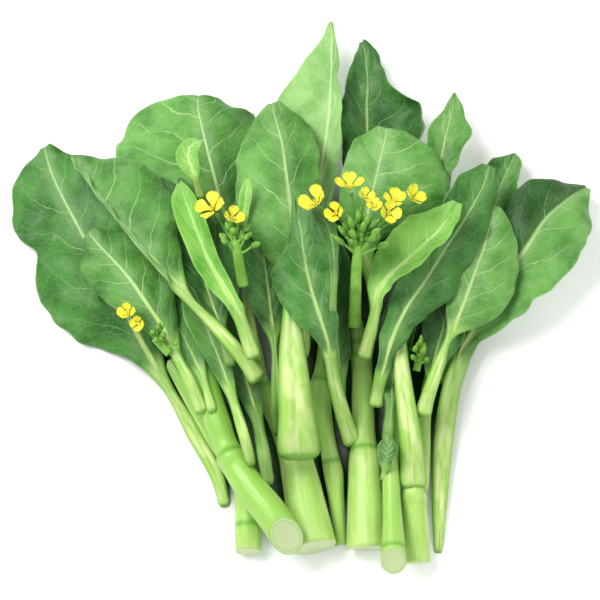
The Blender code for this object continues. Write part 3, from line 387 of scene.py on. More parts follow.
# How much greener than the others a stalk is.
STALK_TINTS = {"stalk_1": 0.90, "stalk_6": 0.6, "stalk_2": 0.30, "stalk_4": 0.1, "stalk_3": 0.15}
BUD_DARK, BUD_LIGHT, BUD_MOTTLE = (0.085, 0.29, 0.030), (0.24, 0.48, 0.065), (0.055, 0.20, 0.022)
STEM_DARK, STEM_LIGHT = (0.20, 0.46, 0.055), (0.27, 0.54, 0.08)
PETAL_BASE, PETAL_TIP, PETAL_VEIN = (0.88, 0.76, 0.03), (0.94, 0.88, 0.06), (0.90, 0.78, 0.03)
STAMEN = (0.85, 0.74, 0.08)
# The floor's dull and clear whites, and the dark green of the painted shade laid in the gaps between the
# stalks.
FLOOR_DULL, FLOOR_WHITE, FLOOR_PAINTED_SHADE = (0.94, 0.94, 0.94), (0.97, 0.97, 0.97), (0.006, 0.035, 0.004)
WHITE = (1.0, 1.0, 1.0, 1.0)

# The floor, in metres: half its side, where the stalks lie, and how far a gap looks for cover.
FLOOR_SIZE, FLOOR_MIDDLE, FLOOR_REACH = 3.0, (0.0, -0.03, 0.0), 0.06
# How open the floor is from the painted shade of a gap to its edge, how far from the middle the gaps get
# painted shade, and how far from it the floor's painted glow starts, which washes out the bunch's shadows
# to keep it white, with its strength there.
FLOOR_OPEN, PAINTED_SHADE_END, PAINTED_GLOW_START, PAINTED_GLOW = (0.25, 0.50), (0.07, 0.10), (0.07, 0.13), 0.26
WORLD_STRENGTH = 0.50
# Lights: place, side, power and colour.
LIGHTS = {"key": ((-0.55, 0.40, 1.0), 0.6, 13.0, (1.0, 0.99, 0.96)),
          "fill": ((0.7, -0.6, 0.9), 0.8, 4.0, (0.97, 0.99, 1.0))}
CAMERA_ELEVATION = 80.0
CAMERA_AIM = (0.0, -0.0044, 0.02)
FRAME_WIDTH = 0.2945
LENS, SENSOR = 150.0, 36.0


def hermite(t, span, start, end, start_slope, end_slope):
    """A smooth value between two others, with its slope given at both."""
    return ((2 * t**3 - 3 * t**2 + 1) * start + (t**3 - 2 * t**2 + t) * span * start_slope
            + (3 * t**2 - 2 * t**3) * end + (t**3 - t**2) * span * end_slope)


def through(rows, steps):
    """A smooth curve through all rows, with the steps that each span takes."""
    rows = np.array(rows, float)
    span = np.linalg.norm(np.diff(rows[:, :3], axis=0), axis=1)
    slope = np.gradient(rows, np.concatenate([[0.0], np.cumsum(span)]), axis=0)
    points = []
    for i, reach in enumerate(span):
        t = (np.arange(steps[i]) / steps[i])[:, None]
        points.append(hermite(t, reach, rows[i], rows[i + 1], slope[i], slope[i + 1]))
    points.append(rows[-1:])
    return np.concatenate(points)


def directions(centre):
    """Right, up and forward at each point of a line, right being level."""
    forward = np.gradient(centre, axis=0)
    forward /= np.linalg.norm(forward, axis=1)[:, None]
    right = np.stack([forward[:, 1], -forward[:, 0], 0 * forward[:, 0]], axis=1)
    right /= np.linalg.norm(right, axis=1)[:, None]
    return right, np.cross(right, forward), forward


def ring_round(right, up, sides):
    """The turns round a line, and the way out at each."""
    turn = (np.arange(sides) + 0.5) / sides * 2 * math.pi - math.pi / 2
    return turn, np.cos(turn)[None, :, None] * right[:, None] + np.sin(turn)[None, :, None] * up[:, None]


def lengths(centre):
    """How far along a line each of its points is."""
    return np.concatenate([[0.0], np.cumsum(np.linalg.norm(np.diff(centre, axis=0), axis=1))])


def between(values, places):
    """Values on a row of points, read smoothly at places between them."""
    slope = np.gradient(values, axis=0)
    i = np.clip(np.floor(places).astype(int), 0, len(values) - 2)
    t = (places - i).reshape(-1, *[1] * (values.ndim - 1))
    return hermite(t, 1.0, values[i], values[i + 1], slope[i], slope[i + 1])


def soft_step(low, high, values):
    """0 below low, 1 above high and smooth between."""
    t = np.clip((values - low) / (high - low), 0.0, 1.0)
    return t * t * (3 - 2 * t)


def triples(shape, *values):
    """Three values for each point of a grid, as rows."""
    return np.stack([np.broadcast_to(value, shape) for value in values], axis=-1).reshape(-1, 3)


def solid_points(name):
    """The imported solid's points, in millimetres."""
    return np.array([vert.co[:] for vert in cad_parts[name].data.vertices]) / MM


def table_shift():
    """How far the part's frame is from the table frame, across and along the bunch."""
    shifts = []
    for name, rows in STALKS.items():
        predicted = stalk_rings(rows, CUT_SLANTS.get(name, 0.0))[0].reshape(-1, 3)
        shifts.append(solid_points(name)[:, :2].min(axis=0) - predicted[:, :2].min(axis=0))
    return np.median(shifts, axis=0)


def height_below(name, spot):
    """Height of the other solids, or of the floor, right under a spot of the table frame."""
    above = Vector((spot[0] + SHIFT[0], spot[1] + SHIFT[1], spot[2] + 1.0)) * MM
    height = 0.0
    for other, tree in TREES.items():
        if other != name:
            hit = tree.ray_cast(above, Vector((0.0, 0.0, -1.0)))[0]
            if hit is not None:
                height = max(height, hit.z / MM)
    return height


def lifts(name, predicted):
    """How far each point of the solid was lifted from where the table puts it."""
    found = solid_points(name)
    flat = predicted.reshape(-1, 3)
    places = flat[:, :2] + SHIFT
    lift = np.full(len(flat), np.nan)
    for i, place in enumerate(places):
        here = np.abs(found[:, :2] - place).max(axis=1) < SAME_PLACE
        if here.any():
            heights = np.unique(np.round(found[here, 2], 3))
            alike = np.abs(places - place).max(axis=1) < SAME_PLACE
            levels = np.unique(np.round(flat[alike, 2], 3))
            rank = int((levels < flat[i, 2] - SAME_LEVEL).sum())
            lift[i] = heights[min(rank, len(heights) - 1)] - flat[i, 2]
    missed = np.isnan(lift)
    if missed.any() and not missed.all():
        near = np.linalg.norm(flat[missed][:, None, :2] - flat[~missed][None, :, :2], axis=2)
        lift[missed] = lift[~missed][near.argmin(axis=1)]
    return np.nan_to_num(lift).reshape(predicted.shape[:-1])


def leaf_rows(leaf):
    """Petiole and blade rows as one list: x, y, z, left, right, rib width, rib half height, blade."""
    rows = []
    for x, y, base, radius in leaf["petiole"]:
        deep = radius * PETIOLE_FLAT
        rows.append((x, y, base + deep, radius, radius, radius, deep, 0.0))
    stub = leaf["petiole"][-1][3]
    count = len(leaf["blade"])
    for i, (x, y, z, left, right) in enumerate(leaf["blade"]):
        left_over = 1 - (i + 1) / count
        rib = RIB_TIP + (stub - RIB_TIP) * left_over
        rows.append((x, y, z, left, right, rib, BLADE_HALF + RIB_DEEP * rib * left_over, 1.0))
    return rows


def leaf_grid(leaf, finer=1, columns=None):
    """A leaf's middle surface, normals, and what its relief and its veins are worked out from."""
    bare = len(leaf["petiole"]) - 1
    line = through(leaf_rows(leaf), [finer] * bare + [STEPS * finer] * len(leaf["blade"]))
    right, up, _ = directions(line[:, :3])
    wings = leaf.get("wings", 2)
    across = np.linspace(-wings - 1, wings + 1, columns or 2 * wings + 3)
    share = np.sin(across / (wings + 1) * math.pi / 2)
    side = (across > -1e-9).astype(int)
    sign = np.where(side == 0, -1, 1)
    step = np.abs(across)[None]
    blade = np.clip(line[:, 7], 0.0, 1.0)[:, None]
    last = (len(line) - 1) / finer
    part = np.maximum(0.0, (np.arange(len(line)) / finer - bare) / (last - bare))[:, None]
    width = np.maximum(line[:, 3:5][:, side], LEAST_WIDTH)
    rib = np.minimum(np.maximum(line[:, 5:6], LEAST_RIB), MOST_RIB * width)
    on_blade = np.where(step <= 1, rib * step, rib + (width - rib) * (step - 1) / wings)
    reach = (1 - blade) * np.abs(share) * width + blade * on_blade
    bend = blade * np.radians(leaf["curl"])[side] / width
    start = blade * np.radians(leaf["fold"])[side]
    turn = start + bend * reach
    bent = np.abs(bend) > 1e-6
    safe = np.where(bent, bend, 1.0)
    out = np.where(bent, (np.sin(turn) - np.sin(start)) / safe, reach * np.cos(start))
    rise = np.where(bent, (np.cos(start) - np.cos(turn)) / safe, reach * np.sin(start))
    height, waves = leaf["wave"]
    swing = np.sin(2 * math.pi * waves * part + WAVE_SHIFT * side)
    rise = rise + height * blade * (reach / width) ** 2 * swing
    middle = line[:, None, :3] + (sign * out)[..., None] * right[:, None] + rise[..., None] * up[:, None]
    normal = np.cos(turn)[..., None] * up[:, None] - (sign * np.sin(turn))[..., None] * right[:, None]
    deep = line[:, 6:7]
    round_half = deep * np.sqrt(np.maximum(0.0, 1 - share**2))[None]
    return dict(middle=middle, normal=normal, blade=blade, part=part, width=width, rib=rib,
                reach=reach, side=side, sign=sign, step=step, share=share, deep=deep, right=right,
                round_half=round_half, line=line, across=across, bare=bare)


def coarse_leaf(leaf):
    """Upper and lower points of the leaf's solid, before it was laid."""
    grid = leaf_grid(leaf)
    flat_half = np.where(grid["step"] < 0.5, grid["deep"], BLADE_HALF)
    half = np.maximum(BLADE_HALF, (1 - grid["blade"]) * grid["round_half"] + grid["blade"] * flat_half)
    reach = grid["normal"] * half[..., None]
    return np.stack([grid["middle"] + reach, grid["middle"] - reach])


def leaf_relief(grid, along, edge, small, draw):
    """Ruffles and billows along the normal, and the margin's scallops across."""
    blade, part = grid["blade"], grid["part"]
    rise = np.zeros_like(edge)
    for size, wave in RUFFLE_WAVES:
        phase = draw.uniform(0, 2 * math.pi, 2)[grid["side"]][None]
        stretch = draw.uniform(0.85, 1.15)
        rise += size * np.sin(2 * math.pi * along / (wave * stretch) + phase)
    fade = blade * edge**3 * np.sin(math.pi * np.clip(part, 0, 1)) ** 0.5
    rise *= RUFFLE * (SMALL_RUFFLE if small else 1.0) * fade
    signed = grid["sign"] * grid["reach"]
    for wave in BILLOW_WAVES:
        first, second = draw.uniform(0, 2 * math.pi, 2)
        swing = np.sin(2 * math.pi * along / wave + first) * np.sin(2 * math.pi * signed / wave + second)
        rise += (SMALL_BILLOW if small else 1.0) * BILLOW * blade * np.clip(edge * 3, 0, 1) * swing
    scallop = SCALLOP * np.sin(2 * math.pi * along / SCALLOP_WAVE + draw.uniform(0, 6)) * blade * edge**2
    return rise, grid["sign"] * scallop * grid["width"]


def fine_leaf(name, leaf, seed):
    """A leaf with a thin ruffled margin, a round petiole, a rib and a swelling between its veins."""
    small = max(max(row[3:5]) for row in leaf["blade"]) < SMALL_WIDTH
    finer, columns = (SMALL_FINER, SMALL_ACROSS) if small else (LEAF_FINER, LEAF_ACROSS)
    grid = leaf_grid(leaf, finer, columns)
    blade, part, step, normal = grid["blade"], grid["part"], grid["step"], grid["normal"]
    edge = grid["reach"] / grid["width"]
    along = lengths(grid["line"][:, :3])[:, None]
    rise, wider = leaf_relief(grid, along, edge, small, np.random.default_rng(seed))
    middle = grid["middle"] + rise[..., None] * normal + wider[..., None] * grid["right"][:, None]
    phase = SIDE_VEINS * part - VEIN_LEAN * edge - VEIN_BEND * edge**2 + VEIN_AHEAD * grid["side"]
    ridge = np.abs(phase - np.round(phase)) * 2
    swell = ridge * (2 - ridge) * np.clip(edge * 6, 0, 1) * (1 - edge**4) * blade
    lifted = (QUILT * (SMALL_QUILT if small else 1.0) * swell)[..., None] * normal
    rib_bell = np.where(step < 1, (1 - np.minimum(step, 1) ** 2) ** 2, 0.0) * (grid["deep"] - BLADE_HALF)
    thin = BLADE_HALF + (MARGIN_HALF - BLADE_HALF) * edge**6
    groove = 1 - GROOVE * np.exp(-(grid["share"][None] / GROOVE_WIDTH) ** 2)
    over = (1 - blade) * grid["round_half"] * groove + blade * (thin + RIB_ABOVE * rib_bell)
    under = (1 - blade) * grid["round_half"] + blade * (thin + rib_bell)
    stub = leaf["petiole"][0][3]
    start = np.clip(along / (BASE_ROUND * stub), 0, 1)
    spread = BASE_NARROW + (1 - BASE_NARROW) * np.sqrt(1 - (1 - start) ** 2)
    spread = spread * (1 + COLLAR * np.exp(-((along - COLLAR_PLACE * stub) / (COLLAR_LENGTH * stub)) ** 2))
    centre_line = grid["line"][:, None, :3]
    middle = centre_line + (middle - centre_line) * spread[..., None] + lifted
    sheets = (middle + (np.maximum(over, MARGIN_HALF) * spread)[..., None] * normal,
              middle - (np.maximum(under, MARGIN_HALF) * spread)[..., None] * normal)
    lift = lifts(name, coarse_leaf(leaf))
    rows = np.arange(len(along)) / finer
    spots = grid["across"] - grid["across"][0]
    for k, sheet in enumerate(sheets):
        sheet[..., 2] += between(between(lift[k], rows).T, spots).T
    base = sheets[1][finer, columns // 2]
    gap = base[2] - height_below(name, base)
    fade = 1 - soft_step(0.0, PETIOLE_BEND * stub, along)
    sink = np.clip(gap + PETIOLE_SUNK * stub, 0.0, MOST_SUNK) * fade
    for sheet in sheets:
        sheet[..., 2] -= sink
    bare_length = along[grid["bare"] * finer, 0]
    part = np.where(along < bare_length, along / bare_length - 1, part)
    place = triples(edge.shape, along, grid["sign"] * grid["reach"], edge)
    form = triples(edge.shape, blade, part, (along[-1, 0] - bare_length) / SIDE_VEINS)
    return sheets, place, form, grid["rib"]


def sheet_faces(rows, columns):
    """Quads of an upper and a lower grid of points with a wall all round."""
    under = rows * columns
    index = np.arange(under).reshape(rows, columns)
    corners = index[:-1, :-1], index[:-1, 1:], index[1:, 1:], index[1:, :-1]
    upper = np.stack(corners, axis=-1).reshape(-1, 4)
    rim = np.concatenate([index[0], index[1:, -1], index[-1, -2::-1], index[-2:0:-1, 0]])
    after = np.roll(rim, -1)
    wall = np.stack([rim, rim + under, after + under, after], axis=-1)
    return np.concatenate([upper, upper[:, ::-1] + under, wall]).tolist()


def ring_faces(rows, sides, ends=True):
    """Quads between rings of points, and the two end faces."""
    index = np.arange(rows * sides).reshape(rows, sides)
    after = np.roll(index, -1, axis=1)
    faces = np.stack([index[:-1], after[:-1], after[1:], index[1:]], axis=-1).reshape(-1, 4).tolist()
    return faces + [index[0, ::-1].tolist(), index[-1].tolist()] if ends else faces


def add_piece(node, slot, points, faces, surface, attributes):
    """A smooth mesh with its values at each point, which takes the place of the solid and rides with it."""
    mesh = bpy.data.meshes.new(f"{node}_fine")
    placed = points + np.array([SHIFT[0], SHIFT[1], 0.0])
    placed[:, 2] = np.maximum(placed[:, 2], FLOOR_GAP)
    mesh.from_pydata((placed * MM).tolist(), [], faces)
    for key, values in attributes.items():
        kind, field = ("FLOAT_VECTOR", "vector") if values.ndim == 2 else ("FLOAT", "value")
        layer = mesh.attributes.new(key, kind, "POINT")
        layer.data.foreach_set(field, np.ascontiguousarray(values, dtype=np.float32).ravel())
    mesh.materials.append(surface)
    mesh.shade_smooth()
    piece = bpy.data.objects.new(f"{node}_fine", mesh)
    bpy.context.scene.collection.objects.link(piece)
    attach(piece, "root")
    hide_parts(node)


def build_leaf(name, leaf, seed, surfaces):
    """A leaf in the tones of its two sides."""
    sheets, place, form, rib = fine_leaf(name, leaf, seed)
    rows, columns = sheets[0].shape[:2]
    points = np.concatenate([sheet.reshape(-1, 3) for sheet in sheets])
    under = np.repeat([0.0, 1.0], rows * columns)
    values = {"place": np.tile(place, (2, 1)), "form": np.tile(form, (2, 1)),
              "rib": np.tile(rib.reshape(-1), 2), "under": under}
    tones = LEAF_TONES[name]
    add_piece(name, TONE_SLOTS[tones[1]], points, sheet_faces(rows, columns), surfaces[tones], values)


def stalk_rings(rows, slant, finer=1, sides=STALK_SIDES, share=1.0):
    """Rings of a stalk's side, pressed flat on the surface, with the line that they follow."""
    centre = [(x, y, base + PRESSED * radius, radius) for x, y, base, radius in rows]
    line = through(centre, [STEPS * finer] * (len(rows) - 1))
    right, up, forward = directions(line[:, :3])
    turn, ring = ring_round(right, up, sides)
    radius = line[:, 3:4] * share
    points = line[:, None, :3] + radius[..., None] * ring
    along = lengths(line[:, :3])[:, None]
    fade = np.clip(1 - along / along[finer], 0, 1)
    reach = slant * fade * (radius * np.sin(turn)[None] - CUT_LEAN * line[:, 3:4])
    points += reach[..., None] * forward[0]
    points[..., 2] = np.maximum(points[..., 2], 0.0)
    return points, line, along, forward, turn


def crease_along(rows, along):
    """1 just below each joint of a stalk, where its radius steps in, and 0 elsewhere."""
    at = lengths(np.array([(x, y, base + PRESSED * radius) for x, y, base, radius in rows]))
    crease = np.zeros_like(along)
    for i in range(1, len(rows)):
        if rows[i][3] < JOINT_STEP * rows[i - 1][3] and at[i] - at[i - 1] < JOINT_LENGTH:
            middle = (at[i] + at[i - 1]) / 2
            crease = np.maximum(crease, np.exp(-((along - middle) / CREASE_WIDTH) ** 2))
    return crease


def build_stalk(name, rows, seed, surface):
    """A stalk with faint ribs, swollen joints and cut ends."""
    slant = CUT_SLANTS.get(name, 0.0)
    lift = lifts(name, stalk_rings(rows, slant)[0])
    _, line, along, forward, turn = stalk_rings(rows, slant, STALK_FINER, STALK_ROUND)
    draw = np.random.default_rng(seed)
    rib = sum(size * np.sin(count * turn + draw.uniform(0, 6)) for size, count in STALK_RIBS)
    uneven = UNEVEN * np.sin(along / UNEVEN_WAVE + 2 * turn + draw.uniform(0, 6))
    over_end = np.clip((along - along[-1] + line[-1, 3]) / line[-1, 3], 0, 1)
    round_share = (STALK_UNDER + rib[None] + uneven) * np.sqrt(1 - END_NARROW * over_end**2)
    points = stalk_rings(rows, slant, STALK_FINER, STALK_ROUND, round_share)[0]
    closed = np.concatenate([lift[:, -2:], lift, lift[:, :2]], axis=1)
    spots = (turn + math.pi / 2) / (2 * math.pi) * STALK_SIDES - 0.5
    points[..., 2] += between(between(closed, np.arange(len(line)) / STALK_FINER).T, spots + 2).T
    shape = points.shape[:2]
    count, sides = shape
    around = turn / (2 * math.pi)
    pieces = [points.reshape(-1, 3)]
    place = [triples(shape, along, around, 1.0)]
    form = [triples(shape, along / along[-1], 0.0, crease_along(rows, along))]
    faces = ring_faces(count, sides, False)
    total = count * sides
    for end, order in ((0, 1), (count - 1, -1)):
        rim = points[end]
        middle = rim.mean(axis=0)
        outward = -forward[0] if end == 0 else forward[-1]
        previous = end * sides + np.arange(sides)
        for share, stand in FACE_RINGS:
            pieces.append(middle + (rim - middle) * share + outward * stand)
            place.append(triples((sides,), along[end, 0], around, share))
            now = total + np.arange(sides)
            total += sides
            quads = np.stack([previous, now, np.roll(now, -1), np.roll(previous, -1)], axis=-1)
            faces += quads[:, ::order].tolist()
            previous = now
        pieces.append(middle[None])
        place.append(triples((1,), along[end, 0], 0.0, 0.0))
        form.append(triples((len(FACE_RINGS) * sides + 1,), float(end > 0), float(end == 0), 0.0))
        fan = np.stack([previous, np.full(sides, total), np.roll(previous, -1)], axis=-1)
        faces += fan[:, ::order].tolist()
        total += 1
    values = {"place": np.concatenate(place), "form": np.concatenate(form),
              "tint": np.full(total, STALK_TINTS.get(name, 0.0))}
    add_piece(name, "stalk", np.concatenate(pieces), faces, surface, values)


def tube(line, sides):
    """Points and faces of a closed tube along rows of x, y, z and radius."""
    line = np.array(line, float)
    right, up, _ = directions(line[:, :3])
    points = line[:, None, :3] + line[:, None, 3:4] * ring_round(right, up, sides)[1]
    return points.reshape(-1, 3), ring_faces(len(line), sides)


def solid_line(start, end, radii):
    """The solid's pedicel with its bud or its cup, as rows for a tube, from shares of the way."""
    return [tuple(start + (end - start) * share) + (radius,) for share, radius in radii]


def bloom_centre(head, bloom):
    """The middle of a bloom's cup, above the top of its head's stem."""
    return np.array([bloom[0], bloom[1], head["stem"][-1][2] + bloom[2]], float)


def bloom_facing(bloom):
    """The way a bloom looks, mostly up."""
    facing = np.array([bloom[4], bloom[5], 1.0])
    return facing / np.linalg.norm(facing)


def stem_ends(head):
    """The last two points of a stem's upper side."""
    return (np.array([x, y, z + radius], float) for x, y, z, radius in head["stem"][-2:])


def bud_ends(head):
    """Root and tip of each closed bud, spiralling up the stem."""
    below, top = stem_ends(head)
    wide, tall = head["spread"]
    for k in range(head["buds"]):
        share = (k + 0.5) / head["buds"]
        turn = k * GOLDEN_TURN
        root = below + (top - below) * (0.25 + 0.7 * share)
        out = wide * (1.05 - 0.75 * share)
        yield root, root + np.array([out * math.cos(turn), tall * (0.3 + 0.65 * share),
                                     3 + 0.45 * out * (1 + math.sin(turn))])


def bloom_ends(head):
    """Root and end of the pedicel of each bloom."""
    below, top = stem_ends(head)
    for bloom in head["blooms"]:
        yield below + (top - below) * 0.6, bloom_centre(head, bloom) - bloom_facing(bloom) * CUP_GAP


def scattered(points, known, lift):
    """Lift of points by the three known places nearest to each."""
    away = np.linalg.norm(points[:, None, :2] - known[None, :, :2], axis=2) + 0.05
    nearest = np.argsort(away, axis=1)[:, :3]
    weight = 1 / np.take_along_axis(away, nearest, axis=1) ** 2
    return (weight * lift[nearest]).sum(axis=1) / weight.sum(axis=1)


def curved(start, end, sag, count=7):
    """A bowed line from start to end."""
    t = np.linspace(0, 1, count)[:, None]
    line = start + (end - start) * t
    line[:, 2] -= sag * np.sin(math.pi * t[:, 0])
    return line


def fine_bud(root, tip, bulk):
    """A thin pedicel and an oval bud with four grooves, as points, faces and a bud share."""
    neck = root + (tip - root) * BUD_NECK
    line = curved(root, neck, 0.5)
    stem, stem_faces = tube(np.column_stack([line, np.linspace(0.62, 0.5, len(line))]), PEDICEL_SIDES)
    axis = tip - neck
    length = np.linalg.norm(axis) * BUD_LENGTH
    axis /= np.linalg.norm(axis)
    side = np.cross(axis, [0.0, 0.0, 1.0])
    side /= np.linalg.norm(side)
    front = np.cross(side, axis)
    t = np.linspace(0.0, 1.0, BUD_RINGS)
    turn = np.arange(BUD_ROUND) / BUD_ROUND * 2 * math.pi
    groove = 1 - BUD_GROOVE * np.abs(np.cos(2 * turn)) ** 6
    radius = (bulk * np.sin(math.pi * (0.06 + 0.88 * t)) ** 0.75 * (1 - 0.16 * t))[:, None] * groove
    points = (neck + axis * (length * t)[:, None, None] + (radius * np.cos(turn))[..., None] * side
              + (radius * np.sin(turn))[..., None] * front).reshape(-1, 3)
    share = np.repeat(0.35 + 0.65 * t, BUD_ROUND)
    return [(stem, stem_faces, np.zeros(len(stem))), (points, ring_faces(BUD_RINGS, BUD_ROUND), share)]


def gathered(parts):
    """Several sets of points, faces and values as one."""
    points, faces, values, total = [], [], [], 0
    for part_points, part_faces, part_values in parts:
        points.append(part_points)
        values.append(part_values)
        faces += [[i + total for i in face] for face in part_faces]
        total += len(part_points)
    return np.concatenate(points), faces, np.concatenate(values)


def build_head(name, head, seed, surface):
    """A flower head's stem, pedicels, buds and the green cups under its blooms."""
    draw = np.random.default_rng(seed)
    stem = np.array([(x, y, z + r, r) for x, y, z, r in head["stem"]], float)
    bud = ((0.0, 0.8), (0.58, 0.65), (0.78, BUD_BULK), (1.0, 0.4 * BUD_BULK))
    cup = ((0.0, 0.8), (1.0, 1.3))
    coarse = [tube(stem, STEM_SIDES)[0]]
    coarse += [tube(solid_line(root, tip, bud), BUD_SIDES)[0] for root, tip in bud_ends(head)]
    coarse += [tube(solid_line(root, end, cup), BUD_SIDES)[0] for root, end in bloom_ends(head)]
    known = np.concatenate(coarse)
    points, faces = tube(through(stem, [STEM_FINER] * (len(stem) - 1)), STEM_ROUND)
    parts = [(points, faces, np.full(len(points), -1.0))]
    for root, tip in bud_ends(head):
        parts += fine_bud(root, tip, draw.uniform(*BUD_THICK))
    top = stem[-1, :3]
    for _ in range(head["buds"] // 2):
        turn = draw.uniform(0, 2 * math.pi)
        out = draw.uniform(*TOP_OUT)
        tip = top + np.array([out * math.cos(turn), draw.uniform(*TOP_ALONG),
                              TOP_UP + out * 0.5 * math.sin(turn)])
        parts += fine_bud(top - [0, 2, 0], tip, draw.uniform(*TOP_THICK))
    for root, end in bloom_ends(head):
        line = curved(root, end, 0.8)
        thick = np.linspace(0.65, 0.7, len(line))
        thick[-1] = 1.25
        points, faces = tube(np.column_stack([line, thick]), PEDICEL_SIDES)
        parts.append((points, faces, np.linspace(0.0, 0.5, len(line)).repeat(PEDICEL_SIDES)))
    points, faces, share = gathered(parts)
    points[:, 2] += scattered(points, known, lifts(name, known))
    foot = points[0] + (stem[0, :3] - points[0]) * [1, 1, 0]
    gap = points[:STEM_ROUND, 2].min() - height_below(name, foot)
    near = np.linalg.norm(points[:, :2] - stem[0, :2], axis=1)
    points[:, 2] -= np.clip(gap + SUNK, 0.0, MOST_STEM_SUNK) * (1 - soft_step(0.0, STEM_BEND, near))
    add_piece(name, "bud", points, faces, surface, {"share": share})


def petal_sheet(centre, facing, out, size, lean, draw):
    """One petal: a narrow claw that rises and widens to a rounded, faintly creased limb."""
    t = np.linspace(0, 1, PETAL_ROWS)[:, None]
    v = np.linspace(-1, 1, PETAL_ACROSS)[None]
    steep = lean + (PETAL_STEEP - lean) * (1 - t) ** 2
    step = size / (PETAL_ROWS - 1)
    reach = size * 0.12 + np.cumsum(np.cos(steep) * step, axis=0)
    rise = np.cumsum(np.sin(steep) * step, axis=0)
    tip = np.sqrt(np.clip(1 - np.clip((t - 0.58) / 0.425, 0, 1) ** 2, 0.0, 1))
    wide = size * (0.09 + 0.38 * soft_step(0.05, 0.7, t)) * np.maximum(tip, 0.04)
    notch = 0.06 * size * np.exp(-(v / 0.3) ** 2) * soft_step(0.7, 1.0, t)
    curve = 0.16 * size * v**2 * t
    crinkle = 0.035 * size * np.sin(6 * v + draw.uniform(0, 6)) * np.sin(5 * t + draw.uniform(0, 6)) * t
    points = (centre + (reach - notch - 0.4 * curve)[..., None] * out
              + (wide * v)[..., None] * np.cross(facing, out)
              + (rise + curve + crinkle)[..., None] * facing)
    both = np.concatenate([points.reshape(-1, 3), (points - facing * PETAL_THICK).reshape(-1, 3)])
    return both, sheet_faces(PETAL_ROWS, PETAL_ACROSS), np.tile((t * np.ones_like(v)).reshape(-1), 2)


def build_bloom(name, head, bloom, seed, surface):
    """A bloom of four petals in one cup round a tuft of stamens."""
    draw = np.random.default_rng(seed)
    size = bloom[3]
    centre = bloom_centre(head, bloom)
    facing = bloom_facing(bloom)
    right = np.cross([0.0, 1.0, 0.0], facing)
    right /= np.linalg.norm(right)
    front = np.cross(facing, right)
    coarse = []
    for share, rise in CUP_RINGS:
        for k in range(CUP_SIDES):
            turn = k / CUP_SIDES * 2 * math.pi
            reach = size * share * (0.6 + 0.4 * abs(math.cos(2 * turn)) ** 0.5)
            coarse.append(centre + reach * (math.cos(turn) * right + math.sin(turn) * front)
                          + facing * size * rise)
    parts = []
    for k in range(4):
        turn = k * math.pi / 2 + draw.uniform(-PETAL_TURN, PETAL_TURN)
        out = math.cos(turn) * right + math.sin(turn) * front
        parts.append(petal_sheet(centre, facing, out, PETAL_SIZE * size, draw.uniform(*PETAL_LEAN), draw))
    for k in range(STAMENS):
        turn = k * 2 * math.pi / STAMENS + 0.3
        lean = (math.cos(turn) * right + math.sin(turn) * front) * size * STAMEN_LEAN
        tip = centre + lean + facing * size * draw.uniform(*STAMEN_HEIGHT)
        line = curved(centre + lean * 0.2, tip, 0.0, len(STAMEN_RADII))
        points, faces = tube(np.column_stack([line, STAMEN_RADII]), 6)
        parts.append((points, faces, np.full(len(points), -1.0)))
    points, faces, share = gathered(parts)
    points[:, 2] += float(np.median(lifts(name, np.array(coarse)))) - BLOOM_LOWER
    add_piece(name, "petal", points, faces, surface, {"share": share})


class Signal:
    """A value inside a material, so that sums can be written as sums."""

    def __init__(self, wiring, socket):
        self.wiring, self.socket = wiring, socket

    def __add__(self, other):
        return self.wiring.math("ADD", self, other)

    def __sub__(self, other):
        return self.wiring.math("SUBTRACT", self, other)

    def __rsub__(self, other):
        return self.wiring.math("SUBTRACT", other, self)

    def __mul__(self, other):
        return self.wiring.math("MULTIPLY", self, other)

    def __abs__(self):
        return self.wiring.math("ABSOLUTE", self)

    def __round__(self):
        return self.wiring.math("ROUND", self)

    def ramp(self, low, high, start=0.0, end=1.0):
        """Smooth change from start to end as the value goes from low to high."""
        node = self.wiring.node("MapRange", *zip(range(5), (self, low, high, start, end)))
        node.interpolation_type = "SMOOTHSTEP"
        return Signal(self.wiring, node.outputs[0])


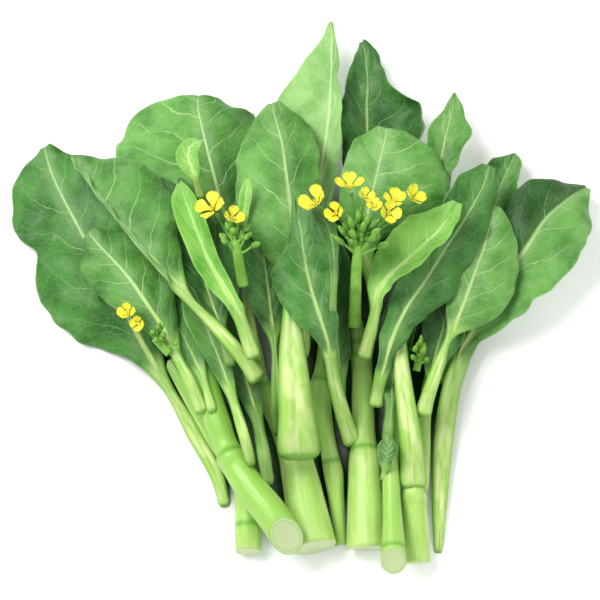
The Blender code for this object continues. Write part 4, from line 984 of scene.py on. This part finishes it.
class Wiring:
    """Adds nodes to one material and links them."""

    def __init__(self, name):
        self.material = bpy.data.materials.new(name)
        self.material.use_nodes = True
        self.tree = self.material.node_tree
        self.shader = self.tree.nodes["Principled BSDF"]

    def put(self, socket, value):
        """Link a value to a socket or set it there, a colour with full cover."""
        if isinstance(value, Signal):
            self.tree.links.new(value.socket, socket)
        elif isinstance(value, tuple) and len(value) == 3 and socket.type == "RGBA":
            socket.default_value = value + (1.0,)
        else:
            socket.default_value = value

    def node(self, kind, *inputs):
        """A new shader node with its inputs set, each by its number or name."""
        node = self.tree.nodes.new(f"ShaderNode{kind}")
        for key, value in inputs:
            self.put(node.inputs[key], value)
        return node

    def value(self, name):
        """The mesh's own number of this name."""
        node = self.node("Attribute")
        node.attribute_name = name
        return Signal(self, node.outputs["Fac"])

    def parts(self, name):
        """The three numbers of the mesh's vector of this name."""
        node = self.node("Attribute")
        node.attribute_name = name
        split = self.node("SeparateXYZ", (0, Signal(self, node.outputs["Vector"])))
        return [Signal(self, output) for output in split.outputs]

    def math(self, operation, *values):
        """The result of a sum or of another function."""
        node = self.node("Math", *enumerate(values))
        node.operation = operation
        return Signal(self, node.outputs[0])

    def mix(self, share, a, b):
        """From colour a to colour b by the share."""
        node = self.node("Mix")
        node.data_type = "RGBA"
        for key, value in ((0, share), (6, a), (7, b)):
            self.put(node.inputs[key], value)
        return Signal(self, node.outputs[2])

    def layers(self, colour, *layers):
        """Each layer's colour over the ones before it, by its share."""
        for share, over in layers:
            colour = self.mix(share, colour, over)
        return colour

    def vector(self, x, y, z):
        """A vector of three values."""
        return Signal(self, self.node("CombineXYZ", (0, x), (1, y), (2, z)).outputs[0])

    def noise(self, vector, scale, detail=2.0, rough=0.5):
        """Soft spots of this many to a unit of the vector."""
        node = self.node("TexNoise", ("Vector", vector), ("Scale", scale), ("Detail", detail),
                         ("Roughness", rough))
        return Signal(self, node.outputs["Fac"])

    def net(self, vector, scale):
        """Distance to the edges of small cells."""
        node = self.node("TexVoronoi", ("Vector", vector), ("Scale", scale))
        node.feature = "DISTANCE_TO_EDGE"
        return Signal(self, node.outputs["Distance"])

    def bump(self, height, strength, distance):
        """Fine relief that shades the surface."""
        node = self.node("Bump", ("Height", height), ("Strength", strength), ("Distance", distance))
        self.put(self.shader.inputs["Normal"], Signal(self, node.outputs[0]))

    def place(self):
        """The point on the piece, in metres."""
        return Signal(self, self.node("TexCoord").outputs["Object"])

    def finish(self, colour, roughness, specular=0.4, subsurface=0.0, radius=(0.3, 1.0, 0.2), scale=0.002):
        """The material, with its surface set."""
        for key, value in (("Base Color", colour), ("Roughness", roughness), ("Metallic", 0.0),
                           ("Specular IOR Level", specular), ("Subsurface Weight", subsurface),
                           ("Subsurface Radius", radius), ("Subsurface Scale", scale)):
            self.put(self.shader.inputs[key], value)
        return self.material


def leaf_material(tones):
    """Blade in the greens of its two sides, a darker side partly painted shade, with midrib, side veins,
    net, waxy patches and a thin rim, and a pale petiole with painted shade at its sides.
    """
    left, right = TONES[tones[0]], TONES[tones[1]]
    w = Wiring(f"leaf_{tones[0]}_{tones[1]}")
    along, across, edge = w.parts("place")
    blade, part, spacing = w.parts("form")
    under = w.value("under")
    away = abs(across)
    side = w.math("LESS_THAN", across, 0.0)
    turn = across.ramp(-1.5, 1.5)
    # Each side's greens; the shade and deep tones carry painted shade.
    dark, light, vein = (w.mix(turn, a, b) for a, b in zip(left, right))
    here = w.vector(along, across, under * 40.0)
    phase = part * SIDE_VEINS - edge * VEIN_LEAN - edge * edge * VEIN_BEND
    phase = phase + (VEIN_AHEAD - side * VEIN_AHEAD) + (w.noise(here, 0.09) - 0.5) * 0.5
    thick = edge.ramp(0.0, 1.0, 0.62, 0.20)
    side_vein = (abs(phase - round(phase)) * spacing).ramp(thick * 0.25, thick, 1.0, 0.0)
    side_vein = side_vein * edge.ramp(0.65, 0.98, 1.0, 0.0)
    branch = phase * 2.0 + edge * 1.3
    branch = (abs(branch - round(branch)) * spacing * 0.5).ramp(0.05, 0.3, 1.0, 0.0)
    net = w.net(w.vector(along, across, 0.0), 0.30).ramp(0.01, 0.09, 1.0, 0.0)
    rib = w.value("rib")
    wide = RIB_WIDE.get(tones[0], 1.0)
    midrib = away.ramp(rib * (0.18 * wide), rib * (0.55 * wide), 1.0, 0.0)
    fine = w.noise(here, 0.9, 4.0, 0.65)
    wax = w.noise(here, 0.11, 4.0, 0.7)
    base = w.layers(
        w.mix(w.noise(here, 0.045, 3.0, 0.6).ramp(0.36, 0.64), dark, light),
        (fine.ramp(0.45, 0.85, 0.0, 0.35), light),
        (w.noise(here, 2.6).ramp(0.50, 0.80, 0.0, 0.25), dark),
        (wax.ramp(0.52, 0.78, 0.0, 0.22), WAX),
        (net * 0.09, vein), (branch * 0.15, vein), (side_vein * 0.55, vein),
        (edge.ramp(0.960, 0.995, 0.0, 0.35), vein), (away.ramp(0.0, 7.0, 0.22, 0.0), vein),
        (midrib * 0.90, w.mix(part.ramp(0.0, 0.8), STALK_PALE, vein)),
        (under * 0.45, w.mix(0.35, light, UNDERSIDE)))
    streak = w.noise(w.vector(along * 0.02, edge * 2.0, side), 1.6, 3.0)
    # Cream patches on the petiole, partly its own pale skin and partly painted highlight.
    cream_and_highlight = w.noise(w.vector(along * 0.06, edge, side), 1.0)
    petiole = w.layers(
        w.mix(streak.ramp(0.25, 0.75, 0.25, 0.62), STALK_GREEN, STALK_PALE),
        (cream_and_highlight.ramp(0.36, 0.62, 0.0, 0.85), STALK_CREAM_AND_HIGHLIGHT),
        # Painted shade: greener, then darker, towards the petiole's sides, leaving its pale middle as
        # painted highlight.
        (edge.ramp(0.35, 1.0, 0.0, 0.60), STALK_GREEN), (edge.ramp(0.75, 1.0, 0.0, 0.45), STALK_DEEP),
        (part.ramp(-0.6, 0.0, 0.0, 0.42), STALK_DEEP), (along.ramp(0.4, 2.2, 0.55, 0.0), STALK_DEEP),
        # Painted shade: the petiole of a deep leaf takes on its blade's dark green.
        (PETIOLE_PAINTED_SHADE.get(tones[0], 0.0), left[1]))
    height = fine * 0.35 - side_vein * 0.6 - net * 0.25 - branch * 0.3
    w.bump(height * blade, 0.6, 0.0005)
    colour = w.mix(blade.ramp(0.10, 0.90), petiole, base)
    return w.finish(colour, wax.ramp(0.3, 0.8, 0.38, 0.58), specular=0.32, subsurface=0.08)


def stalk_material():
    """Pale ribbed stalks with a painted highlight along their tops, greener and darker at their sides as
    painted shade, greener at their joints, and with pale cut faces.
    """
    w = Wiring("stalk_skin")
    along, turn, share = w.parts("place")
    reach, cut, crease = w.parts("form")
    angle = turn * (2 * math.pi)
    cosine, sine = w.math("COSINE", angle), w.math("SINE", angle)
    streaks = w.noise(w.vector(cosine * 3.0, sine * 3.0, along * 0.02), 2.3, 4.0, 0.6)
    blotch = w.noise(w.vector(cosine * 3.0, sine * 3.0, along * 0.12), 0.5, 3.0)
    # Painted light on the skin: paler along the stalk's top as painted highlight, and greener and darker on
    # its sides and underside as painted shade.
    skin = w.layers(
        w.mix(streaks.ramp(0.30, 0.72, 0.15, 0.75), STALK_GREEN, STALK_PALE),
        (sine.ramp(-0.5, 0.9) * 0.30, STALK_PALE), (reach.ramp(0.0, 0.25, 0.35, 0.0), STALK_PALE),
        # The cream blotches are partly the stalk's own cream and partly painted highlight.
        (blotch.ramp(0.45, 0.8, 0.0, 0.40), STALK_GREEN), (blotch.ramp(0.54, 0.30, 0.0, 0.65), STALK_CREAM_AND_HIGHLIGHT),
        (w.value("tint") * 0.7, STALK_GREEN), (sine.ramp(0.35, -0.5, 0.0, 0.65), STALK_DEEP),
        (reach.ramp(0.35, 1.0, 0.0, 0.35), STALK_DEEP), (crease * 0.65, STALK_DEEP))
    spots = w.noise(w.vector(cosine * share, sine * share, 0.0), 9.0, 3.0)
    face = w.layers(
        w.mix(spots.ramp(0.4, 0.7, 0.0, 0.5), CUT_PALE, CUT_PITH),
        (abs(share - 0.80).ramp(0.0, 0.07, 0.45, 0.0), STALK_GREEN),
        (share.ramp(0.90, 0.98, 0.0, 0.8), STALK_GREEN))
    w.bump(streaks + blotch * 0.4, 0.35, 0.0005)
    return w.finish(w.mix(cut, skin, face), streaks.ramp(0.3, 0.7, 0.30, 0.42), specular=0.45,
                    subsurface=0.18, radius=(0.8, 1.0, 0.3), scale=0.003)


def bud_material():
    """Yellow-green buds with paler tips on green pedicels."""
    w = Wiring("bud_skin")
    share = w.value("share")
    mottle = w.noise(w.place(), 600.0, 3.0)
    bud = w.layers(w.mix(share.ramp(0.3, 1.0), BUD_DARK, BUD_LIGHT),
                   (mottle.ramp(0.35, 0.7, 0.0, 0.5), BUD_MOTTLE))
    stem = w.mix(mottle.ramp(0.2, 0.8), STEM_DARK, STEM_LIGHT)
    w.bump(mottle, 0.03, 0.0003)
    return w.finish(w.mix(share.ramp(0.1, 0.3), stem, bud), 0.42, specular=0.4, subsurface=0.15,
                    radius=(0.6, 1.0, 0.2))


def petal_material():
    """Lemon petals, deeper yellow at the base, with yellow stamens."""
    w = Wiring("petal_skin")
    share = w.value("share")
    veins = w.noise(w.place(), 900.0)
    petal = w.layers(w.mix(share.ramp(0.0, 0.6), PETAL_BASE, PETAL_TIP),
                     (veins.ramp(0.4, 0.8, 0.0, 0.30), PETAL_VEIN))
    w.bump(veins, 0.25, 0.0003)
    return w.finish(w.mix(share.ramp(-0.6, -0.2), STAMEN, petal), 0.5, specular=0.3, subsurface=0.25,
                    radius=(1.0, 0.8, 0.1))


def add_floor():
    """A wide pale floor with painted shade, dark green, in the gaps between the stalks where it is covered
    all round, and a painted glow away from the bunch that washes out its shadows.
    """
    w = Wiring("floor_painted_shade_and_glow")
    paint = w.mix(w.noise(w.place(), 40.0).ramp(0.3, 0.7), FLOOR_DULL, FLOOR_WHITE)
    covered = w.node("AmbientOcclusion", ("Distance", FLOOR_REACH))
    covered.samples = 16
    away = w.node("VectorMath")
    away.operation = "DISTANCE"
    w.put(away.inputs[0], w.place())
    w.put(away.inputs[1], FLOOR_MIDDLE)
    away = Signal(w, away.outputs["Value"])
    # Painted shade: the floor turns dark green where it is occluded near the middle of the bunch.
    gap = Signal(w, covered.outputs["AO"]).ramp(*FLOOR_OPEN, 1.0, 0.0) * away.ramp(*PAINTED_SHADE_END, 1.0, 0.0)
    w.finish(w.mix(gap, paint, FLOOR_PAINTED_SHADE), 0.7, specular=0.1)
    w.put(w.shader.inputs["Emission Color"], WHITE)
    # Painted glow: away from the middle of the bunch the floor glows, washing out the bunch's shadows to
    # keep it white.
    w.put(w.shader.inputs["Emission Strength"], away.ramp(*PAINTED_GLOW_START, 0.0, PAINTED_GLOW))
    mesh = bpy.data.meshes.new("floor")
    corners = ((-1, -1), (1, -1), (1, 1), (-1, 1))
    mesh.from_pydata([(x * FLOOR_SIZE, y * FLOOR_SIZE, 0) for x, y in corners], [], [(0, 1, 2, 3)])
    mesh.materials.append(w.material)
    floor = bpy.data.objects.new("floor", mesh)
    bpy.context.scene.collection.objects.link(floor)
    floor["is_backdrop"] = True


def add_light(name, place, size, power, colour):
    """A square soft light that points at the middle of the bunch."""
    data = bpy.data.lights.new(name, "AREA")
    data.size = size
    data.energy = power
    data.color = colour
    light = bpy.data.objects.new(name, data)
    light.location = place
    light.rotation_euler = (-Vector(place)).to_track_quat("-Z", "Y").to_euler()
    bpy.context.scene.collection.objects.link(light)


def add_world():
    """Even white surroundings."""
    world = bpy.data.worlds.new("studio")
    world.use_nodes = True
    background = world.node_tree.nodes["Background"]
    background.inputs["Color"].default_value = WHITE
    background.inputs["Strength"].default_value = WORLD_STRENGTH
    bpy.context.scene.world = world
    bpy.context.scene.view_settings.view_transform = "Standard"
    bpy.context.scene.view_settings.look = "None"


def add_camera():
    """A long lens that looks down on the bunch from the side of the cut ends."""
    elevation = math.radians(CAMERA_ELEVATION)
    away = FRAME_WIDTH * LENS / SENSOR
    aim = Vector(CAMERA_AIM)
    data = bpy.data.cameras.new("camera")
    data.type = "PERSP"
    data.lens = LENS
    data.sensor_width = SENSOR
    data.clip_end = 20.0
    camera = bpy.data.objects.new("camera", data)
    camera.location = aim + away * Vector((0.0, -math.cos(elevation), math.sin(elevation)))
    camera.rotation_euler = (aim - camera.location).to_track_quat("-Z", "Y").to_euler()
    bpy.context.scene.collection.objects.link(camera)
    bpy.context.scene.camera = camera


SHIFT = table_shift()
TREES = {node: BVHTree.FromPolygons([vert.co[:] for vert in item.data.vertices],
                                    [face.vertices[:] for face in item.data.polygons])
         for node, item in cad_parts.items()}
surfaces = {tones: leaf_material(tones) for tones in sorted(TONE_LEAVES)}
skin, green, yellow = stalk_material(), bud_material(), petal_material()
for number, (name, leaf) in enumerate(LEAVES.items()):
    if leaf is None:
        build_stalk(name, STALKS[name], number, skin)
    else:
        build_leaf(name, leaf, number, surfaces)
for number, (name, head) in enumerate(HEADS.items(), 100):
    build_head(name, head, number, green)
    for count, bloom in enumerate(head["blooms"], 1):
        bloom_name = f"{name.replace('flower_head', 'bloom')}_{count}"
        build_bloom(bloom_name, head, bloom, 10 * number + count, yellow)
add_floor()
add_world()
for name, light in LIGHTS.items():
    add_light(name, *light)
add_camera()

VISUAL_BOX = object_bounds()
({"cad": [list(corner) for corner in CAD_BOX],
           "visual": [list(corner) for corner in VISUAL_BOX]})
